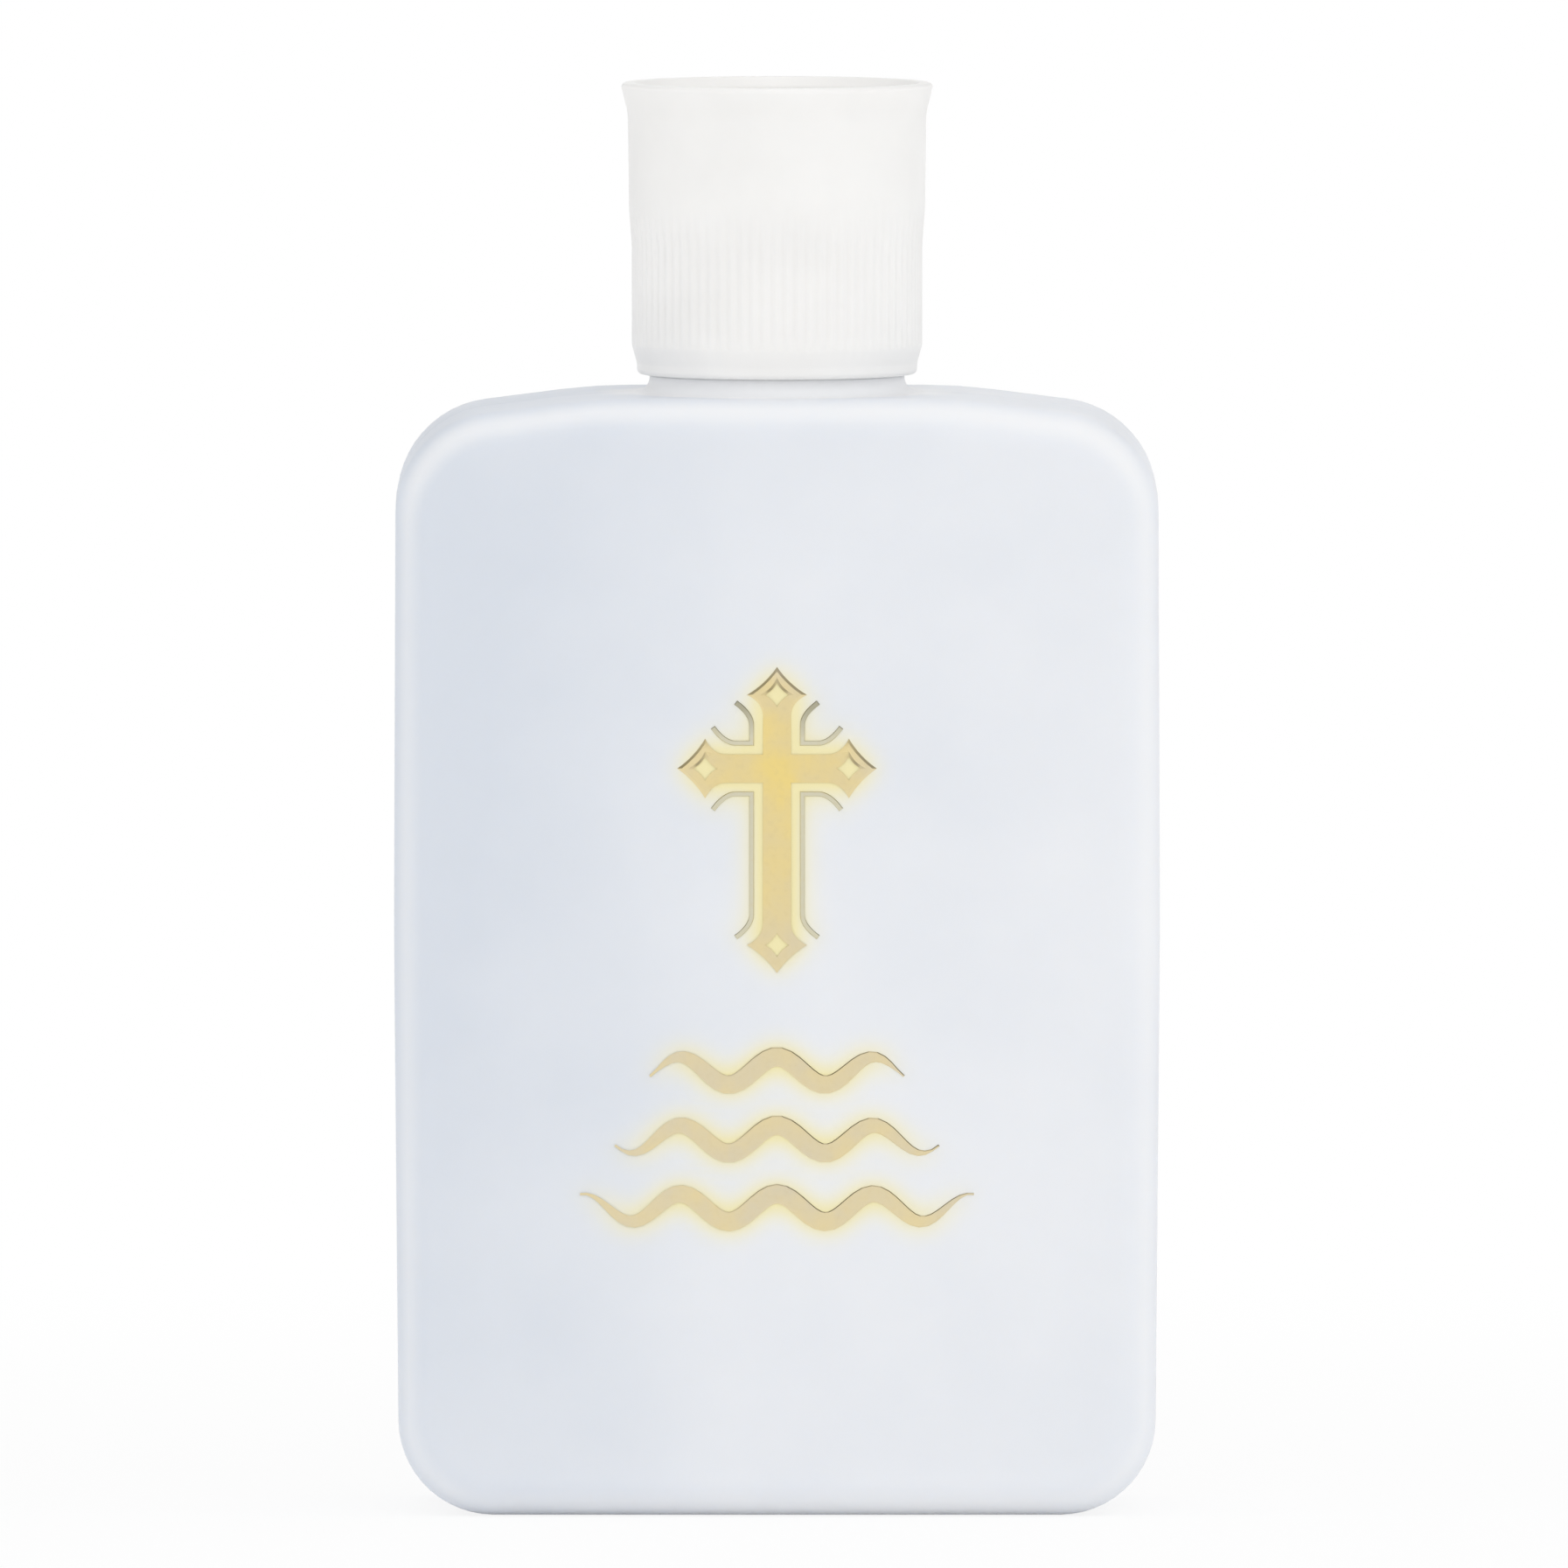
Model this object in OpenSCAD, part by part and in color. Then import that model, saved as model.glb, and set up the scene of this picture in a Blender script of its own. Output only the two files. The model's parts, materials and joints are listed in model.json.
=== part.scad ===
// Flat oblong squeeze bottle with a gold foil cross on its front panel and a ribbed
// screw cap whose top disc tilts to pour. Millimetres, +Z up, front panel towards -Y,
// origin at the centre of the base.

/* [Bottle body] */
// Width across the narrow sides
body_w = 60.4; // [54:0.2:72]
// Depth from front panel to back panel
body_d = 30; // [28:0.5:38]
// Height from the base to the crown of the shoulder
body_h = 88; // [78:0.2:110]
// Corner radius at the base, seen from the front
base_corner_r = 7.5; // [5:0.1:10]
// Corner radius at the shoulder, seen from the front
shoulder_corner_r = 8; // [5:0.1:10]
// Drop of the shoulder from its crown to its corners
shoulder_drop = 1.2; // [0.4:0.1:3]
// Rounding along the edges of the front and back panels
panel_edge_r = 3; // [2.4:0.1:3.4]
// Wall thickness of the body
wall = 1.1; // [0.8:0.05:1.5]
// Thickness of the floor at its standing ring
floor_t = 2; // [1.6:0.1:3]
// Length of the recess under the base
base_recess_l = 36; // [24:1:40]
// Width of the recess under the base
base_recess_w = 14; // [8:0.5:18]
// Depth of the recess under the base
base_recess_deep = 0.8; // [0.4:0.1:1]

/* [Neck finish] */
// Bore through the neck
neck_bore_d = 14; // [12:0.2:15]
// Wall of the neck at the foot of its thread
neck_wall = 1.95; // [1.5:0.05:2.4]
// Height of the neck above the shoulder
neck_h = 14.8; // [13:0.1:18]
// How far the neck thread stands out
neck_thread_depth = 0.95; // [0.7:0.05:1.2]
// How far the bead at the foot of the neck stands out
bead_proud = 1.1; // [0.6:0.05:1.3]
// Height of the bead
bead_h = 1.4; // [1:0.1:2]
// Fillet between the bead and the shoulder
bead_fillet = 0.5; // [0.2:0.1:0.8]
// Rise of the thread in one turn
thread_pitch = 3.175; // [2.9:0.025:3.5]
// Turns of thread on the neck
neck_thread_turns = 1.5; // [1:0.25:1.75]
// From the rim down to the middle of the first thread
thread_start = 2; // [1.6:0.1:2.6]
// Half width of the neck thread at its foot
neck_thread_foot = 1; // [0.7:0.05:1.1]
// Half width of the neck thread at its crest
neck_thread_crest = 0.5; // [0.3:0.05:0.6]

/* [Cap] */
// Gap between the shoulder and the cap's foot
cap_gap = 1.4; // [0.5:0.1:1.6]
// Clearance between the neck and the inside of the skirt
skirt_clearance = 0.3; // [0.2:0.05:0.5]
// Wall of the plain foot of the skirt
foot_wall = 0.7; // [0.6:0.05:1]
// Height of the plain foot
foot_h = 1.6; // [1:0.1:2.5]
// Wall of the skirt over its ribs
skirt_wall = 1.1; // [1.06:0.02:1.6]
// Number of ribs round the skirt
rib_count = 80; // [48:1:96]
// Depth of the grooves between the ribs
rib_depth = 0.25; // [0.15:0.01:0.35]
// How far the smooth band stands out from the ribs
band_step = 0.22; // [0.1:0.02:0.5]
// How far the band widens from its lower edge to its flare
band_draft = 0.1; // [0:0.05:0.4]
// Height of the smooth band up to the top of the cap
band_h = 11.4; // [10.5:0.1:14]
// Wall of the smooth band
band_wall = 1.15; // [1:0.05:1.5]
// How far the lip flares out at the top
lip_flare = 0.6; // [0.2:0.05:0.8]
// Height of the flare and the lip above it
lip_h = 2.9; // [2:0.1:4]
// Turns of thread inside the skirt
cap_thread_turns = 1.25; // [0.75:0.25:1.5]
// How far the cap thread stands in from the skirt
cap_thread_depth = 1.05; // [0.8:0.05:1.1]
// Half width of the cap thread at its foot
cap_thread_foot = 0.9; // [0.6:0.05:1]
// Half width of the cap thread at its crest
cap_thread_crest = 0.45; // [0.3:0.05:0.6]
// Thickness of the deck under the disc
deck_t = 1.2; // [1:0.1:1.6]
// Pouring hole through the deck
orifice_d = 1.8; // [1.2:0.1:2]

/* [Liner] */
// Thickness of the foam liner
liner_t = 1; // [0.6:0.1:1.5]
// Clearance round the liner
liner_clearance = 0.4; // [0.2:0.1:0.6]

/* [Press disc] */
// Thickness of the disc
disc_t = 1.3; // [1.1:0.1:1.6]
// Clearance between the disc's edge and the band
disc_gap = 0.25; // [0.2:0.05:0.4]
// Depth of the disc's face below the top of the lip
disc_recess = 1.2; // [0.8:0.1:1.8]
// Depth of the finger dish in the disc
dish_deep = 0.5; // [0.3:0.05:0.7]
// Radius of the finger dish across the disc
dish_r = 3.6; // [2.5:0.1:4]
// Distance from the pivot to the middle of the finger dish
dish_offset = 5.4; // [4.5:0.1:6]
// Radius of the valve barrel under the disc
barrel_r = 5; // [4.6:0.1:5.5]
// Length of the valve barrel
barrel_l = 6.8; // [5:0.2:8]
// Clearance between the barrel and its saddle
barrel_clearance = 0.05; // [0.03:0.01:0.1]
// Thickness of the saddle under the barrel
saddle_floor = 0.5; // [0.4:0.1:1]
// Height of the saddle's cheeks above its floor
saddle_rise = 1.4; // [0.8:0.1:1.6]
// Wall of the saddle's cheeks
saddle_wall = 1; // [0.8:0.1:1.2]
// Outside of the spout under the disc
spout_d = 3.8; // [3.2:0.1:4]
// Channel through the spout
channel_d = 1.8; // [1.2:0.1:2]
// Drop of the spout's middle below the pivot
spout_drop = 1.6; // [1.4:0.1:1.8]
// Tilt of the open disc
disc_tilt = 27; // [22:1:28]
// Pivot pin
pin_d = 1.1; // [0.8:0.1:1.1]
// Length of a pin inside the disc's edge
pin_root = 1.5; // [1:0.1:2]
// Depth of a pin in its socket
pin_hold = 0.7; // [0.4:0.05:0.8]
// Clearance round and beyond a pin
pin_clearance = 0.05; // [0.03:0.01:0.1]

/* [Gold foil] */
// Thickness of the stamped foil
foil_t = 0.08; // [0.05:0.01:0.2]
// Height of the middle of the cross
cross_z = 59; // [50:0.2:64]
// From the middle of the cross to its upper tip
cross_up = 8; // [7:0.1:10]
// From the middle of the cross to a side tip
cross_side = 7.85; // [7:0.05:10]
// From the middle of the cross to its lower tip
cross_down = 16.1; // [12:0.1:18]
// Width of the bars
bar_w = 2.2; // [1.8:0.1:2.6]
// Width of the pointed ends
point_w = 4.7; // [4:0.1:5.4]
// From a tip back to the widest place of its pointed end
point_l = 2.2; // [1.6:0.1:2.6]
// From the widest place back to the plain bar
flare_l = 1.7; // [1.2:0.1:2]
// Half size of the star cut out of each pointed end
star_r = 0.95; // [0.6:0.05:1]
// Gap between the cross and the lines round it
line_gap = 0.7; // [0.4:0.02:0.8]
// Width of the lines round the cross
line_w = 0.4; // [0.3:0.02:0.6]
// From a tip back to the ends of the lines beside it
line_back = 2.8; // [2.4:0.1:3.2]
// Length of the curve at the end of a line
line_curl_l = 1.8; // [1:0.1:2.2]
// How far the curve at the end of a line turns out
line_curl_out = 1.25; // [0.6:0.05:1.6]
// Height of the lowest ripple
ripple_z = 24.4; // [20:0.2:28]
// Distance between ripples
ripple_step = 5.4; // [4.6:0.1:6]
// Length of the upper ripple
ripple_upper_l = 20; // [16:0.5:24]
// Length of the middle ripple
ripple_middle_l = 25.5; // [20:0.5:30]
// Length of the lower ripple
ripple_lower_l = 31; // [26:0.5:36]
// Length of one wave in a ripple
ripple_wave_l = 7.6; // [6:0.2:9]
// Height of the waves to each side
ripple_rise = 1.1; // [0.6:0.1:1.5]
// Width of a ripple's line
ripple_w = 1.5; // [1:0.1:1.8]

/* [Hidden] */

// Facets of round faces and hulled corners, steps of curves and of one turn of thread, the share of
// a turn in which a thread's end fades, and the least share of a thread's depth or a ripple's width
round_fn = 96;
corner_fn = 32;
edge_steps = 5;
thread_steps = 36;
thread_fade = 0.1;
thread_least = 0.1;
curve_steps = 8;
ripple_steps_per_wave = 14;
ripple_least = 0.12;

// Parts of a solid that run into its neighbour or past a cut
sink = 0.35;
past = 1;

// Neck, worked outwards from its bore
rim_z = body_h + neck_h;
neck_bore_r = neck_bore_d / 2;
neck_root_r = neck_bore_r + neck_wall;
neck_crest_r = neck_root_r + neck_thread_depth;
bead_r = neck_root_r + bead_proud;
rim_chamfer = 0.3;
neck_thread_z0 = rim_z - thread_start - neck_thread_turns * thread_pitch;

// Cap, worked outwards from the neck
skirt_bore_r = max(neck_crest_r, bead_r) + skirt_clearance;
foot_r = skirt_bore_r + foot_wall;
foot_chamfer = 0.25;
skirt_r = skirt_bore_r + skirt_wall;
rib_valley_r = skirt_r - rib_depth;
band_r = skirt_r + band_step;
band_top_r = band_r + band_draft;
lip_r = band_top_r + lip_flare;
lip_round = 0.35;
chamber_r = band_r - band_wall;
mouth_chamfer = 0.7;
cap_z0 = body_h + cap_gap;
deck_z0 = rim_z + liner_t;
deck_z1 = deck_z0 + deck_t;
pivot_z = deck_z1 + saddle_floor + barrel_clearance + barrel_r;
disc_r = chamber_r - disc_gap;
cap_top_z = pivot_z + disc_t / 2 + disc_recess;
band_z0 = cap_top_z - band_h;
cap_thread_z0 = neck_thread_z0 - thread_pitch / 2;
rib_crest_share = 0.14;
rib_foot_share = 0.32;

// Foil: offset of the lines, and how far curves are drawn towards their inner corner
line_offset = bar_w / 2 + line_gap + line_w / 2;
flare_pull = 0.35;
point_pull = 0.22;
star_pull = 0.5;

// Points of an arc about c, from angle a0 to a1
function arc(c, r, a0, a1, n) =
    [for (i = [0:n]) let (a = a0 + (a1 - a0) * i / n) c + r * [cos(a), sin(a)]];

// Points of a quadratic curve from p0 to p2, drawn towards p1
function curve(p0, p1, p2, n) =
    [for (i = [0:n]) let (t = i / n) (1 - t) * (1 - t) * p0 + 2 * t * (1 - t) * p1 + t * t * p2];

// Outline of a line along a path, with its own width at each point and mitred corners
function stroke(path, widths) =
    let (
        last = len(path) - 1,
        along = [for (i = [0:last - 1]) (path[i + 1] - path[i]) / norm(path[i + 1] - path[i])],
        side = [for (d = along) [-d.y, d.x]],
        mitre = [
            for (i = [0:last])
                let (before = side[max(i - 1, 0)], after = side[min(i, last - 1)])
                (before + after) / (1 + before * after)
        ]
    )
    concat(
        [for (i = [0:last]) path[i] + mitre[i] * widths[i] / 2],
        [for (i = [last:-1:0]) path[i] - mitre[i] * widths[i] / 2]
    );

// Round disc lying along Y, with rounded rims
module rounded_disc(r, depth, edge) {
    profile = concat(
        [[0, -depth / 2]],
        arc([r - edge, edge - depth / 2], edge, -90, 0, edge_steps),
        arc([r - edge, depth / 2 - edge], edge, 0, 90, edge_steps),
        [[0, depth / 2]]
    );
    rotate([90, 0, 0]) rotate_extrude($fn = corner_fn) polygon(profile);
}

// Solid of the bottle's body, drawn in on every side by inset and on the floor by floor_inset
module body_form(inset, floor_inset) {
    depth = body_d - 2 * inset;
    edge = panel_edge_r - inset;
    crown_r = shoulder_corner_r - inset;
    hull()
        for (side = [-1, 1]) {
            translate([side * (body_w / 2 - base_corner_r), 0, base_corner_r - inset + floor_inset])
                rounded_disc(base_corner_r - inset, depth, edge);
            translate([
                side * (body_w / 2 - shoulder_corner_r), 0,
                body_h - shoulder_drop - shoulder_corner_r
            ])
                rounded_disc(crown_r, depth, edge);
            translate([side * bead_r, 0, body_h - shoulder_corner_r])
                rounded_disc(crown_r, depth, edge);
        }
}

// Helical thread from foot radius r_foot to crest radius r_crest, fading out at both ends
module thread(r_foot, r_crest, half_foot, half_crest, turns, z0) {
    steps = ceil(turns * thread_steps);
    fade = thread_fade * thread_steps;
    points = [
        for (i = [0:steps])
            let (
                a = 360 * turns * i / steps,
                z = z0 + thread_pitch * turns * i / steps,
                share = max(thread_least, min(1, i / fade, (steps - i) / fade)),
                r = r_foot + (r_crest - r_foot) * share
            )
            for (p = [[r_foot, -half_foot], [r, -half_crest], [r, half_crest], [r_foot, half_foot]])
                [p.x * cos(a), p.x * sin(a), z + p.y]
    ];
    sides = [
        for (i = [0:steps - 1])
            for (k = [0:3])
                let (
                    a = 4 * i + k,
                    b = 4 * i + (k + 1) % 4
                )
                each [[a, a + 4, b + 4], [a, b + 4, b]]
    ];
    end = 4 * steps;
    ends = [[0, 1, 2], [0, 2, 3], [end, end + 2, end + 1], [end, end + 3, end + 2]];
    faces = concat(sides, ends);
    outward = r_crest > r_foot;
    polyhedron(points, outward ? [for (f = faces) [f[2], f[1], f[0]]] : faces);
}

// Outside of the neck, from the shoulder to the rim
module neck_form() {
    profile = concat(
        [[0, body_h - wall / 2], [bead_r + bead_fillet, body_h - wall / 2]],
        arc([bead_r + bead_fillet, body_h + bead_fillet], bead_fillet, 270, 180, curve_steps / 2),
        [
            [bead_r, body_h + bead_h],
            [neck_root_r, body_h + bead_h + bead_proud],
            [neck_root_r, rim_z - rim_chamfer],
            [neck_root_r - rim_chamfer, rim_z],
            [0, rim_z]
        ]
    );
    rotate_extrude($fn = round_fn) polygon(profile);
}

// Recess under the base with round ends
module base_recess() {
    straight = base_recess_l - base_recess_w;
    translate([0, 0, -past])
        linear_extrude(base_recess_deep + past) {
            square([straight, base_recess_w], center = true);
            for (side = [-1, 1])
                translate([side * straight / 2, 0]) circle(d = base_recess_w, $fn = round_fn);
        }
}

module bottle() {
    color([0.88, 0.9, 0.94])
        difference() {
            union() {
                body_form(0, 0);
                neck_form();
                thread(
                    neck_root_r - sink, neck_crest_r, neck_thread_foot, neck_thread_crest,
                    neck_thread_turns, neck_thread_z0
                );
            }
            body_form(wall, floor_t);
            translate([0, 0, body_h - wall - past])
                cylinder(h = neck_h + wall + 2 * past, r = neck_bore_r, $fn = round_fn);
            base_recess();
        }
}

// Outline of the skirt with its ribs, seen from above
function rib_outline() = [
    for (i = [0:rib_count - 1])
        for (p = [
            [-rib_foot_share, rib_valley_r], [-rib_crest_share, skirt_r],
            [rib_crest_share, skirt_r], [rib_foot_share, rib_valley_r]
        ])
            let (a = 360 / rib_count * (i + p.x)) p.y * [cos(a), sin(a)]
];

// Solid outside of the cap: plain foot, ribbed skirt, smooth band and flared lip
module cap_outside() {
    flare_z = cap_top_z - lip_h;
    band_profile = concat(
        [[0, band_z0], [band_r, band_z0], [band_top_r, flare_z]],
        curve(
            [band_top_r, flare_z], [band_top_r, flare_z + lip_h / 2],
            [lip_r, cap_top_z - lip_round], curve_steps
        ),
        arc([lip_r - lip_round, cap_top_z - lip_round], lip_round, 0, 90, curve_steps / 2),
        [[0, cap_top_z]]
    );
    translate([0, 0, cap_z0])
        cylinder(h = foot_chamfer, r1 = foot_r - foot_chamfer, r2 = foot_r, $fn = round_fn);
    translate([0, 0, cap_z0 + foot_chamfer])
        cylinder(h = foot_h - foot_chamfer + past, r = foot_r, $fn = round_fn);
    translate([0, 0, cap_z0 + foot_h])
        linear_extrude(band_z0 - cap_z0 - foot_h + past) polygon(rib_outline());
    rotate_extrude($fn = round_fn) polygon(band_profile);
}

// Raised block on the deck that the valve barrel turns in
module saddle() {
    cheek_z = saddle_floor + saddle_rise;
    bed_r = barrel_r + barrel_clearance;
    half_bed = sqrt(bed_r * bed_r - (bed_r - saddle_rise) * (bed_r - saddle_rise));
    half_w = half_bed + saddle_wall;
    translate([-barrel_l / 2, -half_w, deck_z1 - sink]) cube([barrel_l, 2 * half_w, cheek_z + sink]);
}

module cap_shell() {
    color([0.94, 0.94, 0.93])
        union() {
            difference() {
                union() {
                    difference() {
                        cap_outside();
                        translate([0, 0, cap_z0 - past])
                            cylinder(h = deck_z0 - cap_z0 + past, r = skirt_bore_r, $fn = round_fn);
                        translate([0, 0, deck_z1])
                            cylinder(h = cap_top_z - deck_z1 + past, r = chamber_r, $fn = round_fn);
                        translate([0, 0, cap_top_z - mouth_chamfer])
                            cylinder(
                                h = 2 * mouth_chamfer, r1 = chamber_r,
                                r2 = chamber_r + 2 * mouth_chamfer, $fn = round_fn
                            );
                    }
                    saddle();
                }
                translate([0, 0, pivot_z])
                    rotate([0, 90, 0])
                        cylinder(
                            h = barrel_l + past, r = barrel_r + barrel_clearance,
                            center = true, $fn = round_fn
                        );
                translate([0, 0, deck_z0 - past])
                    cylinder(h = deck_t + saddle_floor + 2 * past, d = orifice_d, $fn = round_fn);
                for (side = [0, 180])
                    rotate([0, 0, side])
                        translate([chamber_r - past, 0, pivot_z])
                            rotate([0, 90, 0])
                                cylinder(
                                    h = past + pin_hold + pin_clearance,
                                    d = pin_d + 2 * pin_clearance, $fn = round_fn
                                );
            }
            thread(
                skirt_bore_r + sink, skirt_bore_r - cap_thread_depth, cap_thread_foot,
                cap_thread_crest, cap_thread_turns, cap_thread_z0
            );
        }
}

// Solid disc with its barrel and spout, about the pivot, inside the ball that it turns in
module disc_form() {
    intersection() {
        sphere(r = disc_r, $fn = round_fn);
        union() {
            cylinder(h = disc_t, r = disc_r + past, center = true, $fn = round_fn);
            intersection() {
                rotate([0, 90, 0]) cylinder(h = barrel_l, r = barrel_r, center = true, $fn = round_fn);
                translate([-barrel_l, -2 * barrel_r, -2 * barrel_r])
                    cube([2 * barrel_l, 4 * barrel_r, 2 * barrel_r]);
            }
            translate([0, 0, -spout_drop])
                rotate([90, 0, 0]) cylinder(h = disc_r + past, d = spout_d, $fn = round_fn);
        }
    }
}

// Shallow round dish for the fingertip, cut from the disc's face
module finger_dish() {
    ball_r = (dish_r * dish_r + dish_deep * dish_deep) / (2 * dish_deep);
    translate([0, dish_offset, disc_t / 2 + ball_r - dish_deep]) sphere(r = ball_r, $fn = round_fn);
}

module press_disc() {
    color([0.95, 0.95, 0.94])
        translate([0, 0, pivot_z])
            difference() {
                union() {
                    disc_form();
                    for (side = [0, 180])
                        rotate([0, 0, side])
                            translate([disc_r - pin_root, 0, 0])
                                rotate([0, 90, 0])
                                    cylinder(
                                        h = pin_root + disc_gap + pin_hold,
                                        d = pin_d, $fn = round_fn
                                    );
                }
                finger_dish();
                translate([0, channel_d / 2, -spout_drop])
                    rotate([90, 0, 0])
                        cylinder(h = channel_d / 2 + disc_r + past, d = channel_d, $fn = round_fn);
                rotate([disc_tilt, 0, 0])
                    translate([0, 0, -barrel_r - past])
                        cylinder(h = barrel_r + past - spout_drop, d = channel_d, $fn = round_fn);
            }
}

module neck_liner() {
    color([0.97, 0.97, 0.95])
        translate([0, 0, rim_z])
            difference() {
                cylinder(h = liner_t, r = skirt_bore_r - liner_clearance, $fn = round_fn);
                translate([0, 0, -past]) cylinder(h = liner_t + 2 * past, r = neck_bore_r, $fn = round_fn);
            }
}

// Foil lying on the front panel, its outline drawn with its origin at height z
module on_front(z) {
    color([0.88, 0.76, 0.45])
        translate([0, -body_d / 2, z]) rotate([90, 0, 0]) linear_extrude(foil_t) children();
}

// One side of an arm that runs along +X, from the bar to its tip
function arm_side(length) =
    let (
        half = bar_w / 2,
        widest = [length - point_l, point_w / 2],
        bar_end = [length - point_l - flare_l, half],
        tip = [length, 0]
    )
    concat(
        curve(bar_end, [widest.x - flare_l * flare_pull, half], widest, curve_steps),
        curve(widest, (1 - point_pull) * (widest + tip) / 2 + point_pull * [widest.x, 0], tip, curve_steps)
    );

// Outline of an arm along +X
function arm_outline(length) =
    let (upper = arm_side(length), last = len(upper) - 1)
    concat(
        [[0, bar_w / 2]], upper,
        [for (i = [last - 1:-1:0]) [upper[i].x, -upper[i].y]], [[0, -bar_w / 2]]
    );

// Four-pointed star with hollow sides
function star_outline() = [
    for (q = [0:3])
        each let (
            p0 = star_r * [cos(90 * q), sin(90 * q)],
            p2 = star_r * [cos(90 * q + 90), sin(90 * q + 90)],
            pull = star_r * star_pull * [cos(90 * q + 45), sin(90 * q + 45)],
            side = curve(p0, pull, p2, curve_steps)
        )
        [for (i = [0:curve_steps - 1]) side[i]]
];

module cross_foil() {
    arms = [[cross_side, 0], [cross_up, 90], [cross_side, 180], [cross_down, 270]];
    on_front(cross_z)
        difference() {
            union()
                for (arm = arms) rotate(arm[1]) polygon(arm_outline(arm[0]));
            for (arm = arms)
                rotate(arm[1]) translate([arm[0] - point_l, 0]) polygon(star_outline());
        }
}

// Path of a line in the corner between an arm along +Y and the side arm along +X
function line_path(length_y) =
    let (
        out = line_offset + line_curl_out,
        y_end = length_y - line_back,
        x_end = cross_side - line_back,
        y_curl = y_end - line_curl_l,
        x_curl = x_end - line_curl_l,
        c = line_offset
    )
    concat(
        curve([out, y_end], [c, y_end - line_curl_l / 2], [c, y_curl], curve_steps),
        [[c, c]],
        curve([x_curl, c], [x_end - line_curl_l / 2, c], [x_end, out], curve_steps)
    );

// Line beside the cross, in the corner that the two signs name
module cross_line(right, up) {
    path = line_path(up > 0 ? cross_up : cross_down);
    on_front(cross_z)
        polygon(stroke([for (p = path) [right * p.x, up * p.y]], [for (p = path) line_w]));
}

module cross_line_upper_left() cross_line(-1, 1);
module cross_line_upper_right() cross_line(1, 1);
module cross_line_lower_left() cross_line(-1, -1);
module cross_line_lower_right() cross_line(1, -1);

// Ripple that fades to fine points at both ends, a number of steps above the lowest one
module ripple(length, steps_up) {
    n = ceil(ripple_steps_per_wave * length / ripple_wave_l);
    path = [
        for (i = [0:n])
            let (x = length * (i / n - 0.5)) [x, ripple_rise * cos(360 * x / ripple_wave_l)]
    ];
    widths = [
        for (i = [0:n])
            let (t = abs(2 * i / n - 1)) ripple_w * max(ripple_least, 1 - t * t * t)
    ];
    on_front(ripple_z + steps_up * ripple_step) polygon(stroke(path, widths));
}

module ripple_foil_upper() ripple(ripple_upper_l, 2);
module ripple_foil_middle() ripple(ripple_middle_l, 1);
module ripple_foil_lower() ripple(ripple_lower_l, 0);

bottle();
cap_shell();
press_disc();
neck_liner();
cross_foil();
cross_line_upper_left();
cross_line_upper_right();
cross_line_lower_left();
cross_line_lower_right();
ripple_foil_upper();
ripple_foil_middle();
ripple_foil_lower();
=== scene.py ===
"""Looks of the flat squeeze bottle with a gold foil cross and a ribbed press-disc cap.

The packed CAD model is the frame. Each operator makes one piece, or one group of like pieces, as surfaces
worked out with numpy, in metres, +Z up, with the front panel towards -Y and the origin under the base.
"""

import functools
import json
import math

import bmesh
import bpy
import numpy as np
from bpy.props import FloatProperty, FloatVectorProperty, IntProperty, PointerProperty
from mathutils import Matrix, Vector


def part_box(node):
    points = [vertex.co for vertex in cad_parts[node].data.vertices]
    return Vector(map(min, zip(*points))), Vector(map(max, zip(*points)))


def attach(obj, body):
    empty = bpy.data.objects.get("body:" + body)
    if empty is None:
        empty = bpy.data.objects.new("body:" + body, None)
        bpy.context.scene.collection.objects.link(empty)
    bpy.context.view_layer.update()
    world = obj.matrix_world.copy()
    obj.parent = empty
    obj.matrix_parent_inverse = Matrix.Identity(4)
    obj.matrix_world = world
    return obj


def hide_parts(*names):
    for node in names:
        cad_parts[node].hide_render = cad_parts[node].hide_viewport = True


bl_info = {
    "name": "Squeeze bottle with foil cross",
    "version": (1, 0, 0),
    "blender": (4, 5, 0),
    "location": "3D View > Sidebar > Bottle",
    "description": "Makes the bottle, its cap, its gold foil and a plain studio round the packed CAD model",
    "category": "Object",
}

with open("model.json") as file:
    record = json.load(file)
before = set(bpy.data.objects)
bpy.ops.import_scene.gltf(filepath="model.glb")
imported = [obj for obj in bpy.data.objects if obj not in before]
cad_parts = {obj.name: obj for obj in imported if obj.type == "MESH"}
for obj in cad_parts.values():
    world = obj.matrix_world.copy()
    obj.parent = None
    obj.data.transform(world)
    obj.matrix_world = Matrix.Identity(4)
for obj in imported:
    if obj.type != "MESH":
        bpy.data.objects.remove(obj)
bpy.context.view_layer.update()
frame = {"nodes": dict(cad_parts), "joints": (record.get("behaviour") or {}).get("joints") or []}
BOTTLE_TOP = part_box("bottle")[1]
CAP_FOOT, CAP_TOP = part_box("cap_shell")
LINER_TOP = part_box("neck_liner")[1]
DISC_FRONT, DISC_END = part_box("press_disc")
CROSS_LOW, CROSS_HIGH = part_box("cross_foil")
PIVOT = Vector(next(joint["pos_m"] for joint in frame["joints"] if joint["name"] == "disc_tilt"))

MM = 0.001
GOLDEN = (math.sqrt(5) - 1) / 2
# Points closer together than this count as one.
WELD = 0.002 * MM
# Angle of one step of an arc, and how far the chord of a wider step may sag.
ARC_STEP, ARC_SAG = math.radians(7), 0.003 * MM
# Edges that turn by more than this stay sharp.
SMOOTH_ANGLE = math.radians(38)
# Least share of a normal along a direction for a surface to count as facing that way.
FACING = 0.9
# Shares of a panel's fall that run out to its sides and to its upper and lower edges.
PILLOW_ACROSS, PILLOW_ALONG = 0.65, 0.35
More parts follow.
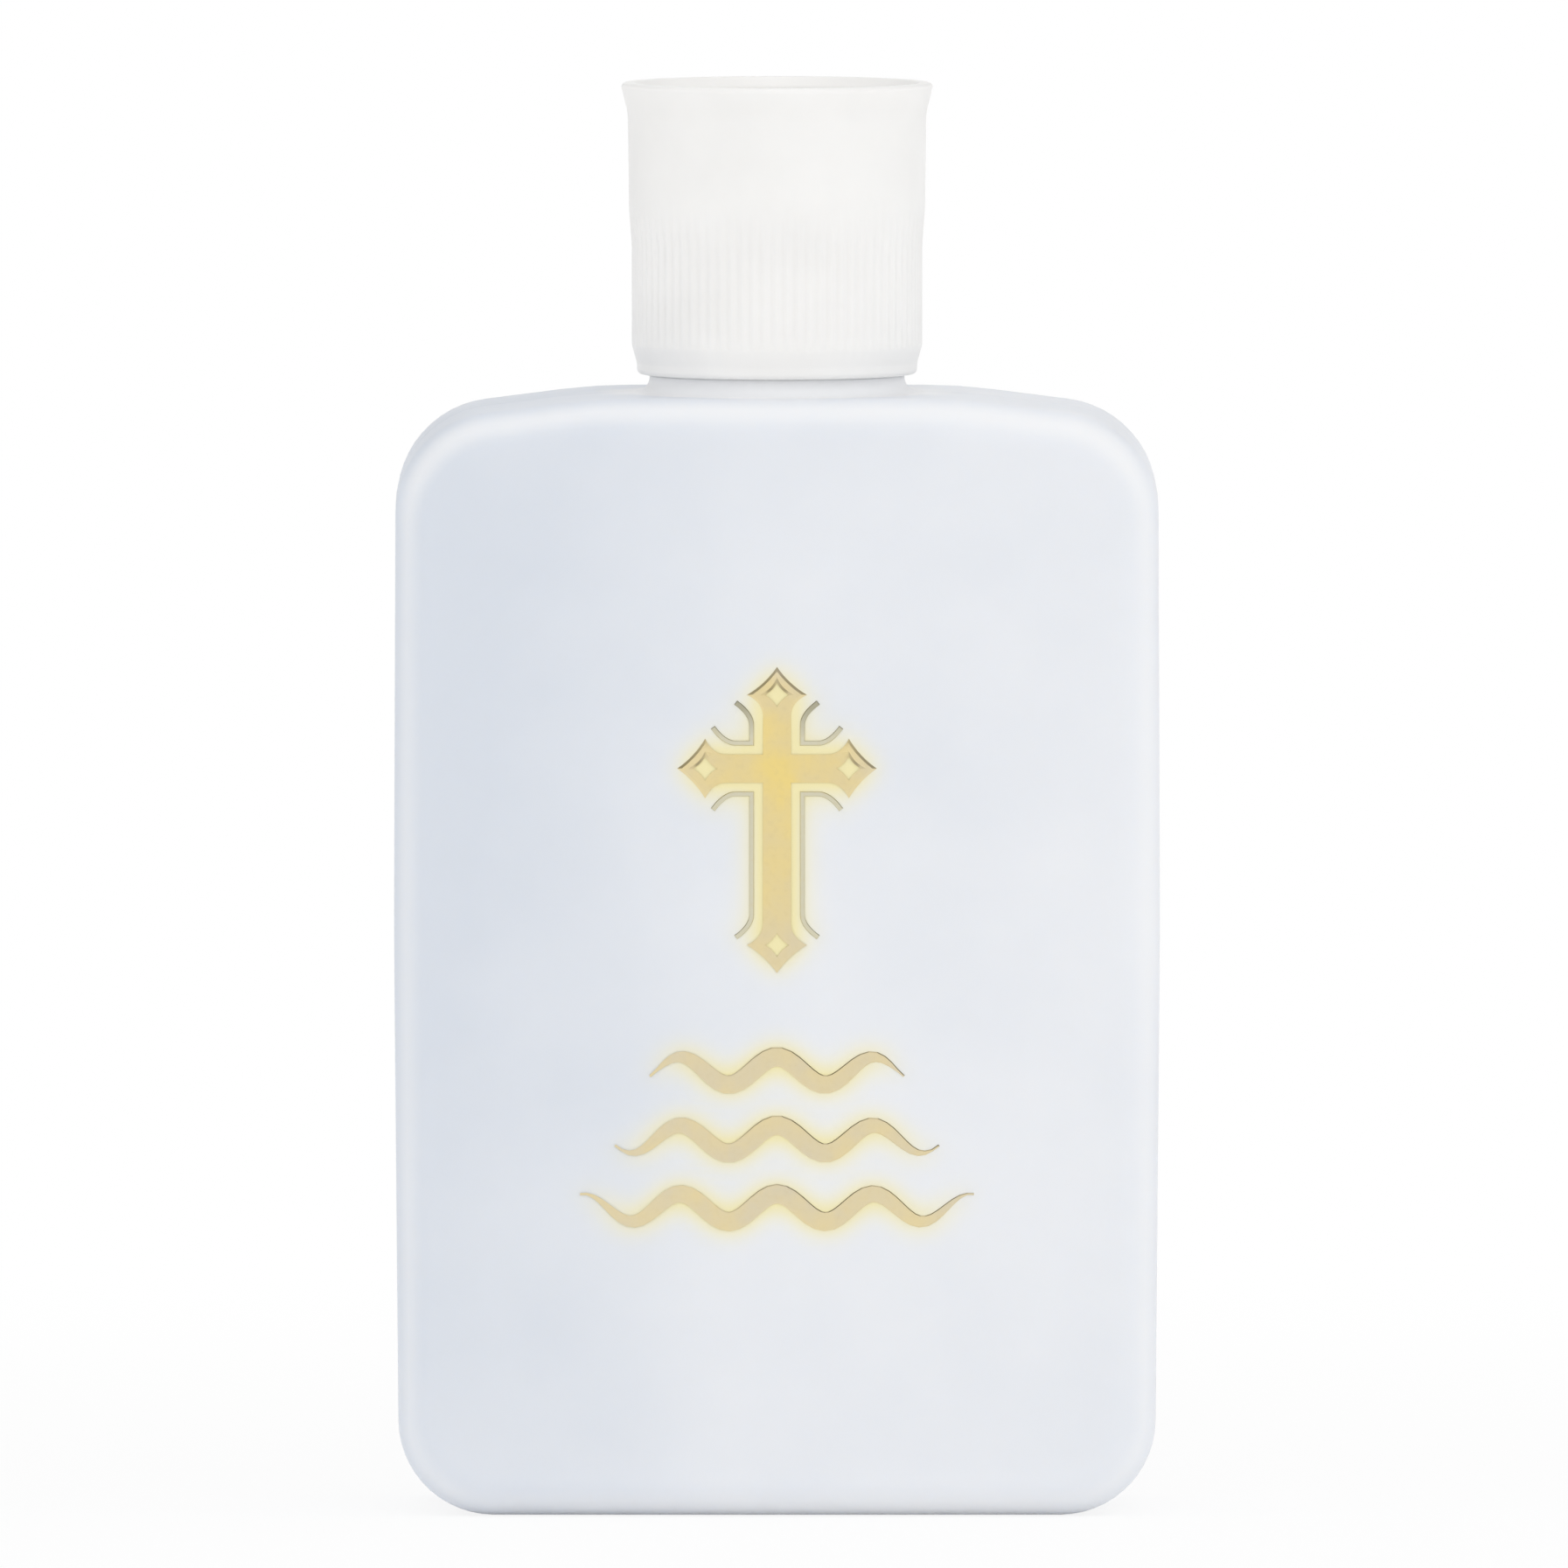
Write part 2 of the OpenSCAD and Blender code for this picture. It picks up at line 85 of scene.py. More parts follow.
# How finely the surfaces are cut: points along a curve, rings of a panel or floor, sides of a turned piece.
EDGE_POINTS, SIDE_POINTS, SEAM_POINTS, BED_POINTS, BARREL_POINTS = 11, 16, 5, 25, 33
FRONT_RINGS, PLAIN_RINGS, JOIN_RINGS, FLOOR_RINGS = 72, 14, 6, 13
RIB_SIDES, DISC_SIDES, SPOUT_SIDES, PIN_SIDES, FLOOR_SIDES = 7, 120, 48, 32, 96
# Input numbers of a Mix node for colours and of a Map Range node.
SHARE, FIRST, SECOND = 0, 6, 7
FROM_LOW, FROM_HIGH, TO_LOW, TO_HIGH = 1, 2, 3, 4
CROSS_LINES = [f"cross_line_{end}_{side}" for end in ("upper", "lower") for side in ("left", "right")]
RIPPLES = ["ripple_foil_upper", "ripple_foil_middle", "ripple_foil_lower"]


def length(name, millimetres, description):
    """A length that a user may change, given in millimetres and kept in metres."""
    return FloatProperty(
        name=name, description=description, default=millimetres * MM, unit="LENGTH", precision=5
    )


def to_linear(code):
    """Linear RGBA of an sRGB hex colour: c / 12.92 where dark, ((c + 0.055) / 1.055) ^ 2.4 elsewhere."""
    value = np.array([int(code[i:i + 2], 16) for i in (1, 3, 5)]) / 255
    linear = np.where(value <= 0.04045, value / 12.92, ((value + 0.055) / 1.055) ** 2.4)
    return (*linear.tolist(), 1.0)


def colour(name, code, description):
    """A colour that a user may change, given as an sRGB hex value and kept linear."""
    return FloatVectorProperty(
        name=name, description=description, default=to_linear(code), size=4, min=0, max=1, subtype="COLOR"
    )


class BottleSizes(bpy.types.PropertyGroup):
    """Sizes of the blow-moulded bottle."""

    half_width: length("Half width", BOTTLE_TOP.x / MM, "From the middle to the widest place of a side")
    half_depth: length("Half depth", BOTTLE_TOP.y / MM, "From the middle to the front panel")
    widest_height: length("Widest height", 46, "Height at which the sides are widest")
    base_pinch: length("Base pinch", 0.45, "How much narrower each side is at the base")
    shoulder_pinch: length("Shoulder pinch", 0.2, "How much narrower each side is at the shoulder")
    side_round: length("Side rounding", 600, "Radius of the soft bend where a side is widest")
    base_corner: length("Base corner", 7.5, "Corner radius at the base")
    shoulder_corner: length("Shoulder corner", 8, "Corner radius at the shoulder")
    shoulder_fall: length("Shoulder fall", 2, "Drop of the shoulder from its crown to its corners")
    crown_reach: length("Crown reach", 14.3, "From the middle to where the shoulder starts to fall")
    crown_round: length("Crown rounding", 45, "Radius of the bend between crown and shoulder")
    edge: length("Panel edge", 3, "Rounding along the edges of the front and back panels")
    wall: length("Wall", 1.1, "Wall thickness of the body")
    floor: length("Floor", 2, "Thickness of the floor")
    pillow: length("Pillow", 0.5, "How far the panels fall back from their middle to their corners")
    recess_length: length("Recess length", 36, "Length of the recess under the base")
    recess_width: length("Recess width", 14, "Width of the recess under the base")
    recess_depth: length("Recess depth", 0.8, "Depth of the recess under the base")
    recess_slope: length("Recess slope", 1.6, "Run of the slope round the recess")
    seam: length("Seam", 0.05, "Height of the mould's parting line")
    seam_width: length("Seam width", 0.22, "Half width of the mould's parting line")
    neck_height: length("Neck height", 14.8, "From the shoulder to the rim")
    neck_bore: length("Neck bore", 7, "Radius of the bore through the neck")
    neck_root: length("Neck root", 8.95, "Radius of the neck at the foot of its thread")
    bead: length("Bead", 10.05, "Radius of the bead at the foot of the neck")
    bead_height: length("Bead height", 1.4, "Height of the bead")
    neck_fillet: length("Neck fillet", 1.2, "Fillet between neck and shoulder")
    thread_drop: length("Thread drop", 6.7625, "From the rim down to the lower end of the thread")
    thread_depth: length("Thread depth", 0.95, "How far the thread stands out")
    thread_foot: length("Thread foot", 1, "Half width of the thread at its foot")
    thread_crest: length("Thread crest", 0.5, "Half width of the thread at its crest")
    thread_pitch: length("Thread pitch", 3.175, "Rise of the thread in one turn")
    thread_turns: FloatProperty(name="Thread turns", description="Turns of thread on the neck", default=1.5)


class CapSizes(bpy.types.PropertyGroup):
    """Sizes of the ribbed cap and of the disc in its top."""

    lip: length("Lip", CAP_TOP.x / MM, "Radius of the flared lip")
    bore: length("Skirt bore", 10.35, "Radius inside the skirt")
    foot: length("Foot", 11.05, "Radius of the plain foot")
    foot_height: length("Foot height", 1.6, "Height of the plain foot")
    foot_round: length("Foot rounding", 0.45, "Rounding under the outer edge of the foot")
    skirt: length("Skirt", 11.45, "Radius over the ribs")
    ribs: IntProperty(name="Ribs", description="Number of ribs round the skirt", default=80, min=8)
    rib_depth: length("Rib depth", 0.15, "Depth of the grooves between the ribs")
    rib_run_out: length("Rib run-out", 6, "Height over which the grooves fade into the band")
    band: length("Band", 11.67, "Radius of the smooth band at its lower edge")
    band_top: length("Band top", 11.77, "Radius of the smooth band under its flare")
    band_height: length("Band height", 11.4, "From the lower edge of the band to the top")
    flare_height: length("Flare height", 2.4, "Height of the flare under the lip")
    lip_round: length("Lip rounding", 0.35, "Rounding of the lip")
    chamber: length("Chamber", 0.25 - DISC_FRONT.y / MM, "Radius of the chamber over the deck")
    mouth: length("Mouth chamfer", 0.7, "Chamfer at the mouth of the chamber")
    deck: length("Deck", 1.2, "Thickness of the deck")
    orifice: length("Orifice", 0.9, "Radius of the pouring hole")
    thread_depth: length("Thread depth", 1.05, "How far the thread stands in from the skirt")
    thread_foot: length("Thread foot", 0.9, "Half width of the thread at its foot")
    thread_crest: length("Thread crest", 0.45, "Half width of the thread at its crest")
    thread_rise: length("Thread rise", 5.05, "From the foot of the cap to the lower end of its thread")
    thread_turns: FloatProperty(name="Thread turns", description="Turns of thread in the skirt", default=1.25)
    saddle_width: length("Saddle width", 8.98, "Width of the saddle from front to back")
    saddle_height: length("Saddle height", 1.9, "Height of the saddle above the deck")
    bed: length("Bed", 5.05, "Radius of the saddle's bed")
    disc: length("Disc", -DISC_FRONT.y / MM, "Radius of the press disc")
    disc_thickness: length("Disc thickness", 1.3, "Thickness of the press disc")
    disc_round: length("Disc rounding", 0.25, "Rounding of the disc's edge")
    dish: length("Dish", 3.6, "Radius of the finger dish")
    dish_depth: length("Dish depth", 0.5, "Depth of the finger dish")
    dish_offset: length("Dish offset", 5.4, "From the pivot to the middle of the finger dish")
    dish_blend: length("Dish blend", 0.06, "Softness of the dish's rim")
    barrel: length("Barrel", 5, "Radius of the valve barrel")
    barrel_length: length("Barrel length", 6.8, "Length of the valve barrel")
    spout: length("Spout", 1.9, "Outer radius of the spout")
    channel: length("Channel", 0.9, "Radius of the channel through the spout")
    spout_drop: length("Spout drop", 1.6, "From the pivot down to the middle of the spout")
    pin: length("Pin", 0.55, "Radius of the pivot pins")
    pin_root: length("Pin root", 1.5, "Length of a pin inside the disc's edge")
    pin_end: length("Pin end", DISC_END.x / MM, "From the middle to the end of a pin")


class FoilSizes(bpy.types.PropertyGroup):
    """Sizes of the stamped foil's edges and of the warm margin that shows round it."""

    lip: length("Foil lip", 0.015, "Thickness of the foil at its outline")
    cross_slope: length("Cross slope", 0.2, "Run of the pressed slope along the edges of the cross")
    crossing: length("Crossing", 8, "From the upper tip of the cross to the middle of its bars")
    star_back: length("Star back", 2.2, "From a tip of the cross to the middle of its star")
    star_reach: length("Star reach", 1.55, "Reach of a star and its hollow, both axes together")
    star_soft: length("Star softness", 0.4, "Height over which the hollow above a star grows deep")
    point_reach: length("Point reach", 2.6, "Reach of a hard pressed point, both axes together")
    point_soft: length("Point softness", 1, "Length over which the press eases beyond a point")
    hollow: length("Hollow", 0.02, "Thickness of the foil in the hollow above a star")
    line_slope: length("Line slope", 0.06, "Run of the pressed slope along the thin lines")
    ripple_slope: length("Ripple slope", 0.07, "Run of the pressed slope along the ripples")
    ripple_tilt: length("Ripple tilt", 9, "From the middle to full press at the right, none at the left")
    # Spread and strength of the warm cream tint that the panel takes round the foil.
    halo_spread: length("Heat spread", 0.95, "How far the die's heat spread, as a standard deviation")
    halo_gain: FloatProperty(name="Heat gain", description="Warm tint for a full share of heat", default=1.95)


class Finishes(bpy.types.PropertyGroup):
    """Colours of the finishes, and how much painted dark reflection the upper ends of the fine lines take."""

    hdpe: colour("Polyethylene", "#EEF1F7", "Milky body of the bottle")
    # hdpe_cool is the wall's cooler tone in random clouds, and also painted shade towards the left side and
    # the shoulder.
    hdpe_cool: colour("Polyethylene, cool", "#DAE0EA", "Cooler, thicker places of the bottle's wall")
    # hdpe_pale is painted light: a painted highlight along the panel edges, and a lift on the neck shaded by
    # the cap.
    hdpe_pale: colour("Polyethylene, pale", "#FAFBFD", "Pale neck and thin edges of the bottle")
    margin: colour("Foil margin", "#F2E8B2", "Warm margin round the stamped foil")
    cap: colour("Polypropylene", "#F6F5F3", "Body of the cap and disc")
    cap_shade: colour("Polypropylene, shade", "#F2F1EF", "Flow clouds in the cap")
    gold: colour("Gold foil", "#F4DC8E", "Gold at the middle of the cross")
    gold_pale: colour("Gold foil, pale", "#E2D6B8", "Worn, paler gold towards the ends")
    gold_dark: colour("Gold foil, dark", "#D8C490", "Bronze flecks in the foil")
    gold_line: colour("Gold line", "#DAD5BC", "Thinner film of the fine lines")
    # gold_painted_dark is a painted dark reflection, the shade at the upper ends of the fine lines.
    gold_painted_dark: colour("Gold line, tarnished", "#86826C", "Tarnish at the upper ends of the fine lines")
    painted_dark_share: FloatProperty(
        name="Tarnish", description="How far the upper ends of the fine lines have tarnished",
        default=0.52, min=0, max=1,
    )
    foam: colour("Foam", "#F4F3EE", "Foam liner")
    foam_shade: colour("Foam, shade", "#E4E2DA", "Cells of the foam liner")
    paper: colour("Backdrop paper", "#FAFAFA", "Floor of the studio")


class StudioSizes(bpy.types.PropertyGroup):
    """Camera, floor and lamps of the studio."""

    camera_distance: length("Camera distance", 5000, "From the bottle to the camera")
    camera_height: length("Camera height", 319, "Height of the camera above the floor")
    aim_height: length("Aim height", 57.0, "Height of the point that the camera looks at")
    aim_side: length("Aim side", 0.55, "How far the camera stands right of the bottle's middle")
    frame_width: length("Frame width", 123.7, "Width of the picture at the bottle")
    floor_radius: length("Floor radius", 3000, "Radius of the floor")
    floor_drop: length("Floor drop", 0.05, "Gap under the base, so that base and floor don't coincide")
    key_power: FloatProperty(name="Key", description="Soft lamp at the right", default=0.25, unit="POWER")
    fill_power: FloatProperty(name="Fill", description="Soft lamp at the left", default=0.15, unit="POWER")
    top_power: FloatProperty(name="Top", description="Soft lamp above the front", default=1.36, unit="POWER")
    room_level: FloatProperty(name="Room", description="Light of the pale room", default=0.85)
    flag_look: FloatProperty(name="Flags", description="Dark flags as gloss shows them", default=0.12)


def smoothstep(low, high, value):
    """3t^2 - 2t^3 for t running from 0 at low to 1 at high, and held beyond them."""
    t = np.clip((value - low) / (high - low), 0, 1)
    return t * t * (3 - 2 * t)


def ring_angles(count):
    """Angles of points spread evenly round a ring: 2 pi i / count."""
    return np.arange(count) * 2 * math.pi / count


def rounded_path(rows, spacing, closed=True):
    """Points and outward normals of a path through rows of x, y, radius, with an arc of that radius at each.

    An arc starts and ends r tan(turn / 2) from its corner, and its steps are 7 degrees, or wider on a small
    arc, whose chords may sag by r (1 - cos(step / 2)). Straight stretches are cut into steps no longer than
    spacing. Outward is to the right of the path, so a closed path runs anticlockwise.
    """
    rows = np.array(rows, float)
    corners, radii = rows[:, :2], rows[:, 2]
    out = np.roll(corners, -1, axis=0) - corners
    out /= np.linalg.norm(out, axis=1, keepdims=True)
    into = np.roll(out, 1, axis=0)
    if not closed:
        into[0] = out[0]
        out[-1] = into[-1]
    turn = np.arctan2(into[:, 0] * out[:, 1] - into[:, 1] * out[:, 0], (into * out).sum(1))
    reach = (radii * np.tan(np.abs(turn) / 2))[:, None]
    starts = corners - into * reach
    ends = corners + out * reach
    points, normals = [], []
    for i, radius in enumerate(radii):
        heading = math.atan2(into[i, 1], into[i, 0])
        step = max(ARC_STEP, 2 * math.acos(1 - ARC_SAG / radius)) if radius > 0 else math.inf
        steps = max(2, math.ceil(abs(turn[i]) / step)) if radius > 0 else 0
        angle = heading + turn[i] * (np.linspace(0, 1, steps + 1) if steps else np.array([0.5]))
        normal = np.stack([np.sin(angle), -np.cos(angle)], 1)
        bend = math.copysign(radius, turn[i])
        centre = starts[i] + bend * np.array([-math.sin(heading), math.cos(heading)])
        points.append(centre + bend * normal)
        normals.append(normal)
        if closed or i < len(corners) - 1:
            following = starts[(i + 1) % len(corners)]
            cuts = max(1, math.ceil(np.linalg.norm(following - ends[i]) / spacing))
            share = np.linspace(0, 1, cuts + 1)[1:-1, None]
            points.append(ends[i] + (following - ends[i]) * share)
            normals.append(np.repeat([[out[i, 1], -out[i, 0]]], cuts - 1, axis=0))
    return np.concatenate(points), np.concatenate(normals)


def grid_faces(rows, columns, wrap_rows=False):
    """Row, column, corner array of the quads between neighbouring rows of a grid of closed rings."""
    row = np.arange(rows if wrap_rows else rows - 1)[:, None]
    column = np.arange(columns)[None, :]
    here, above = row * columns, (row + 1) % rows * columns
    following = (column + 1) % columns
    return np.stack([here + column, here + following, above + following, above + column], -1)


def grid_part(points, wrap_rows=False):
    """Vertices and one block of quads of a row, column, xyz array whose columns close into rings."""
    rows, columns = points.shape[:2]
    return points.reshape(-1, 3), [grid_faces(rows, columns, wrap_rows).reshape(-1, 4)]


def between(first, last, steps):
    """Grid of straight lines from each point of a first ring to the same point of a last ring."""
    share = np.linspace(0, 1, steps + 1)[:, None, None]
    return first + (np.broadcast_to(last, first.shape) - first) * share


def turned(radius, height, angle):
    """Grid of a profile turned about +Z: (r cos a, r sin a, z), where r may differ from angle to angle."""
    radius = np.broadcast_to(radius, (len(height), len(angle)))
    z = np.broadcast_to(height[:, None], radius.shape)
    return np.stack([radius * np.cos(angle), radius * np.sin(angle), z], -1)


def thread_ridge(angle, height, low, sizes, pitch):
    """Share of a helical thread's depth at each height and angle.

    The helix rises pitch in each turn from height low. Its section rises smoothly from the half width of its
    foot to that of its crest, and its ends fade over a tenth of a turn.
    """
    fade = 0.1
    ridge = np.zeros((len(height), len(angle)))
    for lap in range(math.ceil(sizes.thread_turns) + 1):
        turns = (angle % (2 * math.pi)) / (2 * math.pi) + lap
        away = np.abs(height[:, None] - low - pitch * turns)
        section = smoothstep(sizes.thread_foot, sizes.thread_crest, away)
        ends = smoothstep(0, fade, turns) * smoothstep(0, fade, sizes.thread_turns - turns)
        ridge = np.maximum(ridge, section * ends)
    return ridge


def make_piece(name, parts, material, body, nodes):
    """Mesh of parts, welded, facing outwards, riding on a CAD body in place of its nodes.

    A part is its vertices and blocks of faces. The faces of a block have the same number of corners.
    """
    starts = np.cumsum([0] + [len(vertices) for vertices, _ in parts])
    vertices = np.concatenate([vertices for vertices, _ in parts])
    blocks = [block + start for start, (_, part) in zip(starts, parts) for block in part]
    faces = [face for block in blocks for face in block.tolist()]
    mesh = bpy.data.meshes.new(name)
    mesh.from_pydata(vertices.tolist(), [], faces)
    welded = bmesh.new()
    welded.from_mesh(mesh)
    bmesh.ops.remove_doubles(welded, verts=welded.verts, dist=WELD)
    bmesh.ops.recalc_face_normals(welded, faces=welded.faces)
    welded.to_mesh(mesh)
    welded.free()
    mesh.shade_smooth()
    mesh.set_sharp_from_angle(angle=SMOOTH_ANGLE)
    return dress(name, mesh, material, body, nodes)


def dress(name, mesh, material, body, nodes):
    """Object of a finished mesh with its material, riding on a CAD body in place of its nodes."""
    mesh.materials.clear()
    mesh.materials.append(material)
    piece = bpy.data.objects.new(name, mesh)
    bpy.context.scene.collection.objects.link(piece)
    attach(piece, body)
    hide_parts(*nodes)
    return piece


def shoulder_height(sizes):
    """Height of the shoulder's crown, where the neck starts."""
    return BOTTLE_TOP.z - sizes.neck_height


def bottle_outline(sizes):
    """Front outline of the body: base corners, sides widest half way up, shoulder corners, level crown."""
    height = shoulder_height(sizes)
    right = [
        (sizes.half_width - sizes.base_pinch, 0, sizes.base_corner),
        (sizes.half_width - sizes.seam, sizes.widest_height, sizes.side_round),
        (sizes.half_width - sizes.shoulder_pinch, height - sizes.shoulder_fall, sizes.shoulder_corner),
        (sizes.crown_reach, height, sizes.crown_round),
    ]
    left = [(-x, z, radius) for x, z, radius in reversed(right)]
    return rounded_path(right + left, spacing=1 * MM)


def pillowed(sizes, points):
    """Points whose panels fall back from their middle: |y| loses pillow x (a u^2 + b v^2).

    u and v run from 0 in the middle of a panel to 1 at its side and at its upper and lower edges, and a and b
    are the shares of the fall that run each way. Points between the panels move in proportion.
    """
    middle = shoulder_height(sizes) / 2
    across = points[..., 0] / sizes.half_width
    along = (points[..., 2] - middle) / middle
    fall = sizes.pillow * (PILLOW_ACROSS * across ** 2 + PILLOW_ALONG * along ** 2)
    moved = np.array(points, float)
    moved[..., 1] *= 1 - fall / sizes.half_depth
    return moved


def recess_rise(sizes, points):
    """Rise of the base inside its stadium-shaped recess, with a smooth slope round it."""
    straight = (sizes.recess_length - sizes.recess_width) / 2
    along = np.maximum(np.abs(points[..., 0]) - straight, 0)
    inside = sizes.recess_width / 2 - np.hypot(along, points[..., 1])
    low = points[..., 2] < sizes.base_corner / 2
    return np.where(low, sizes.recess_depth * smoothstep(0, sizes.recess_slope, inside), 0)


def body_shell(sizes, inset, front_rings):
    """Skin of the body, drawn in by inset, as parts, with the square opening left in its crown.

    The outline is carried across the depth: its offset d and depth y follow a quarter circle at each panel
    edge and a straight side between, P = C - d N. Panels are filled by rings that shrink to their middle.
    The outer skin has the parting line as a ridge exp(-(y / w)^2) and the recess under its base.
    """
    outline, normal = bottle_outline(sizes)
    height = outline[:, 1].max()
    crown = np.flatnonzero(outline[:, 1] > height - WELD)
    hole = outline[crown, 0].max()
    outline = outline - inset * normal
    outer = inset == 0
    if not outer:
        floor, top = sizes.floor, height - inset
        outline[:, 1] = floor + (outline[:, 1] - inset) * (top - floor) / (top - inset)
    edge, depth = sizes.edge - inset, sizes.half_depth - inset
    arc = np.linspace(0, math.pi / 2, EDGE_POINTS)
    side = np.linspace(hole, 4 * sizes.seam_width, SIDE_POINTS)
    seam = sizes.seam_width * np.linspace(2, 0, SEAM_POINTS)
    half_y = -np.concatenate([depth - edge * (1 - np.cos(arc)), side, seam])
    half_d = np.concatenate([edge * (1 - np.sin(arc)), np.zeros(len(side) + len(seam))])
    across_y = np.concatenate([half_y, -half_y[-2::-1]])
    across_d = np.concatenate([half_d, half_d[-2::-1]])
    offset = across_d[:, None] + np.zeros(len(outline))
    if outer:
        # The parting line runs over the shoulder and down the sides, but not under the base.
        above_base = normal[:, 1] > -0.5
        offset -= sizes.seam * np.exp(-((across_y / sizes.seam_width) ** 2))[:, None] * above_base
    flat = outline - offset[..., None] * normal
    y = np.broadcast_to(across_y[:, None], flat.shape[:2])
    grid = np.stack([flat[..., 0], y, flat[..., 1]], -1)
    if outer:
        grid[..., 2] += recess_rise(sizes, grid)
    rows = np.flatnonzero(np.abs(across_y) < hole + WELD)
    keep = np.ones((len(across_y) - 1, len(outline)), bool)
    keep[rows[0]:rows[-1], crown[0]:crown[-1]] = False
    faces = grid_faces(*grid.shape[:2])[keep]
    panels = []
    for row, rings in ((0, front_rings), (-1, PLAIN_RINGS)):
        middle = np.array([0, across_y[row], height / 2])
        panels.append(between(grid[row], middle, rings))
    loop = np.concatenate([
        grid[rows[0], crown[:-1]], grid[rows[:-1], crown[-1]],
        grid[rows[-1], crown[:0:-1]], grid[rows[:0:-1], crown[0]],
    ])
    parts = [(pillowed(sizes, grid).reshape(-1, 3), [faces])]
    parts += [grid_part(pillowed(sizes, panel)) for panel in panels]
    return parts, pillowed(sizes, loop)


def neck_grid(sizes, angle):
    """Neck turned about the axis, from its fillet on the shoulder over the rim and down its bore.

    The outer wall stands out by the thread's depth where thread_ridge is 1.
    """
    rim, foot = BOTTLE_TOP.z, shoulder_height(sizes)
    bead_top = foot + sizes.bead_height
    soft = 0.3 * MM
    # The fillet is a hair smaller than its run, so that its arc starts just after the path does.
    fillet = 0.999 * sizes.neck_fillet
    corners = [
        (sizes.bead + sizes.neck_fillet, foot, 0),
        (sizes.bead, foot, fillet),
        (sizes.bead, bead_top, soft),
        (sizes.neck_root, bead_top + 2 * soft, soft),
        (sizes.neck_root, rim, soft),
        (sizes.neck_bore, rim, soft),
        (sizes.neck_bore, foot - sizes.wall, 0),
    ]
    profile, normal = rounded_path(corners, spacing=0.4 * MM, closed=False)
    ridge = thread_ridge(angle, profile[:, 1], rim - sizes.thread_drop, sizes, sizes.thread_pitch)
    wall = (normal[:, 0] > FACING) & (profile[:, 0] < sizes.neck_root + WELD)
    radius = profile[:, :1] + sizes.thread_depth * ridge * wall[:, None]
    return turned(radius, profile[:, 1], angle)


def vertex_places(mesh):
    """Places of a mesh's vertices as rows of x, y, z."""
    places = np.empty(len(mesh.vertices) * 3, np.float32)
    mesh.vertices.foreach_get("co", places)
    return places.reshape(-1, 3)


def foil_halo(points, sizes):
    """Share of the warm cream tint on the front panel round the foil, from 0 to 1.

    The tint spreads as a Gaussian. Each foil triangle A, B, C is sampled at A + r (1 - v) (B - A) + r v (C -
    A) with r = sqrt(u), and each sample adds a exp(-d^2 / (2 s^2)) / (2 pi s^2) for the area a it stands for.
    """
    spread = sizes.halo_spread
    grain, reach = spread / 4, 3 * spread
    halo = np.zeros(len(points), np.float32)
    plane = points[:, ::2]
    for name in ["cross_foil", *CROSS_LINES, *RIPPLES]:
        source = frame["nodes"][name].data
        source.calc_loop_triangles()
        corners = np.empty(len(source.loop_triangles) * 3, np.int32)
        source.loop_triangles.foreach_get("vertices", corners)
        triangles = vertex_places(source)[corners.reshape(-1, 3)]
        face = triangles[..., 1].min() + WELD
        triangles = triangles[(triangles[..., 1] < face).all(1)][..., ::2]
        first, second = (triangles[:, 1:] - triangles[:, :1]).swapaxes(0, 1)
        area = np.abs(first[:, 0] * second[:, 1] - first[:, 1] * second[:, 0]) / 2
        count = np.ceil(area / grain ** 2).astype(int)
        owner = np.repeat(np.arange(len(area)), count)
        order = np.arange(len(owner)) - np.repeat(np.cumsum(count) - count, count)
        root = np.sqrt((order + 0.5) / count[owner])[:, None]
        split = (order * GOLDEN % 1)[:, None]
        samples = triangles[owner, 0] + root * ((1 - split) * first[owner] + split * second[owner])
        low, high = samples.min(0) - reach, samples.max(0) + reach
        near = np.flatnonzero((points[:, 1] < 0) & (plane > low).all(1) & (plane < high).all(1))
        square = ((plane[near, None] - samples.astype(np.float32)) ** 2).sum(-1)
        halo[near] += np.exp(-square / (2 * spread ** 2)) @ (area / count)[owner]
    return np.clip(halo * sizes.halo_gain / (2 * math.pi * spread ** 2), 0, 1)


def painted_light_shares(points, sizes):
    """Share of painted light: 1 round the neck, to lift the shade in the gap under the cap, and about half
    along the rounded panel edges as a painted highlight, most on the upper ones, 0 elsewhere.

    A point on an edge lies within its rounding of both the side and the panel. The distance to the side is
    that of a box with round corners: r - |max(r - i, 0)| for the distances i to the box's nearest walls.
    """
    height = shoulder_height(sizes)
    x, y, z = points.T
    fall = sizes.shoulder_fall * np.clip((np.abs(x) - sizes.crown_reach) / sizes.crown_reach, 0, 1)
    walls = np.stack([sizes.half_width - np.abs(x), np.minimum(z, height - fall - z)])
    corner = sizes.shoulder_corner
    side = np.where(
        walls.min(0) < corner, corner - np.linalg.norm(np.maximum(corner - walls, 0), axis=0), walls.min(0)
    )
    reach = np.maximum(side, sizes.half_depth - np.abs(y))
    # The painted highlight is stronger along the upper edges, which face the light from above.
    lower_share, upper_share = 0.36, 0.58
    share = lower_share + (upper_share - lower_share) * smoothstep(0.8 * height, height, z)
    edge = share * smoothstep(0.8 * sizes.edge, 0.3 * sizes.edge, reach)
    # Painted light on the neck, against the shade that the cap's foot casts in the gap above the shoulder.
    neck = smoothstep(1.35 * sizes.bead, 1.1 * sizes.bead, np.hypot(x, y)) * (z > height - sizes.wall)
    return np.maximum(edge, neck)


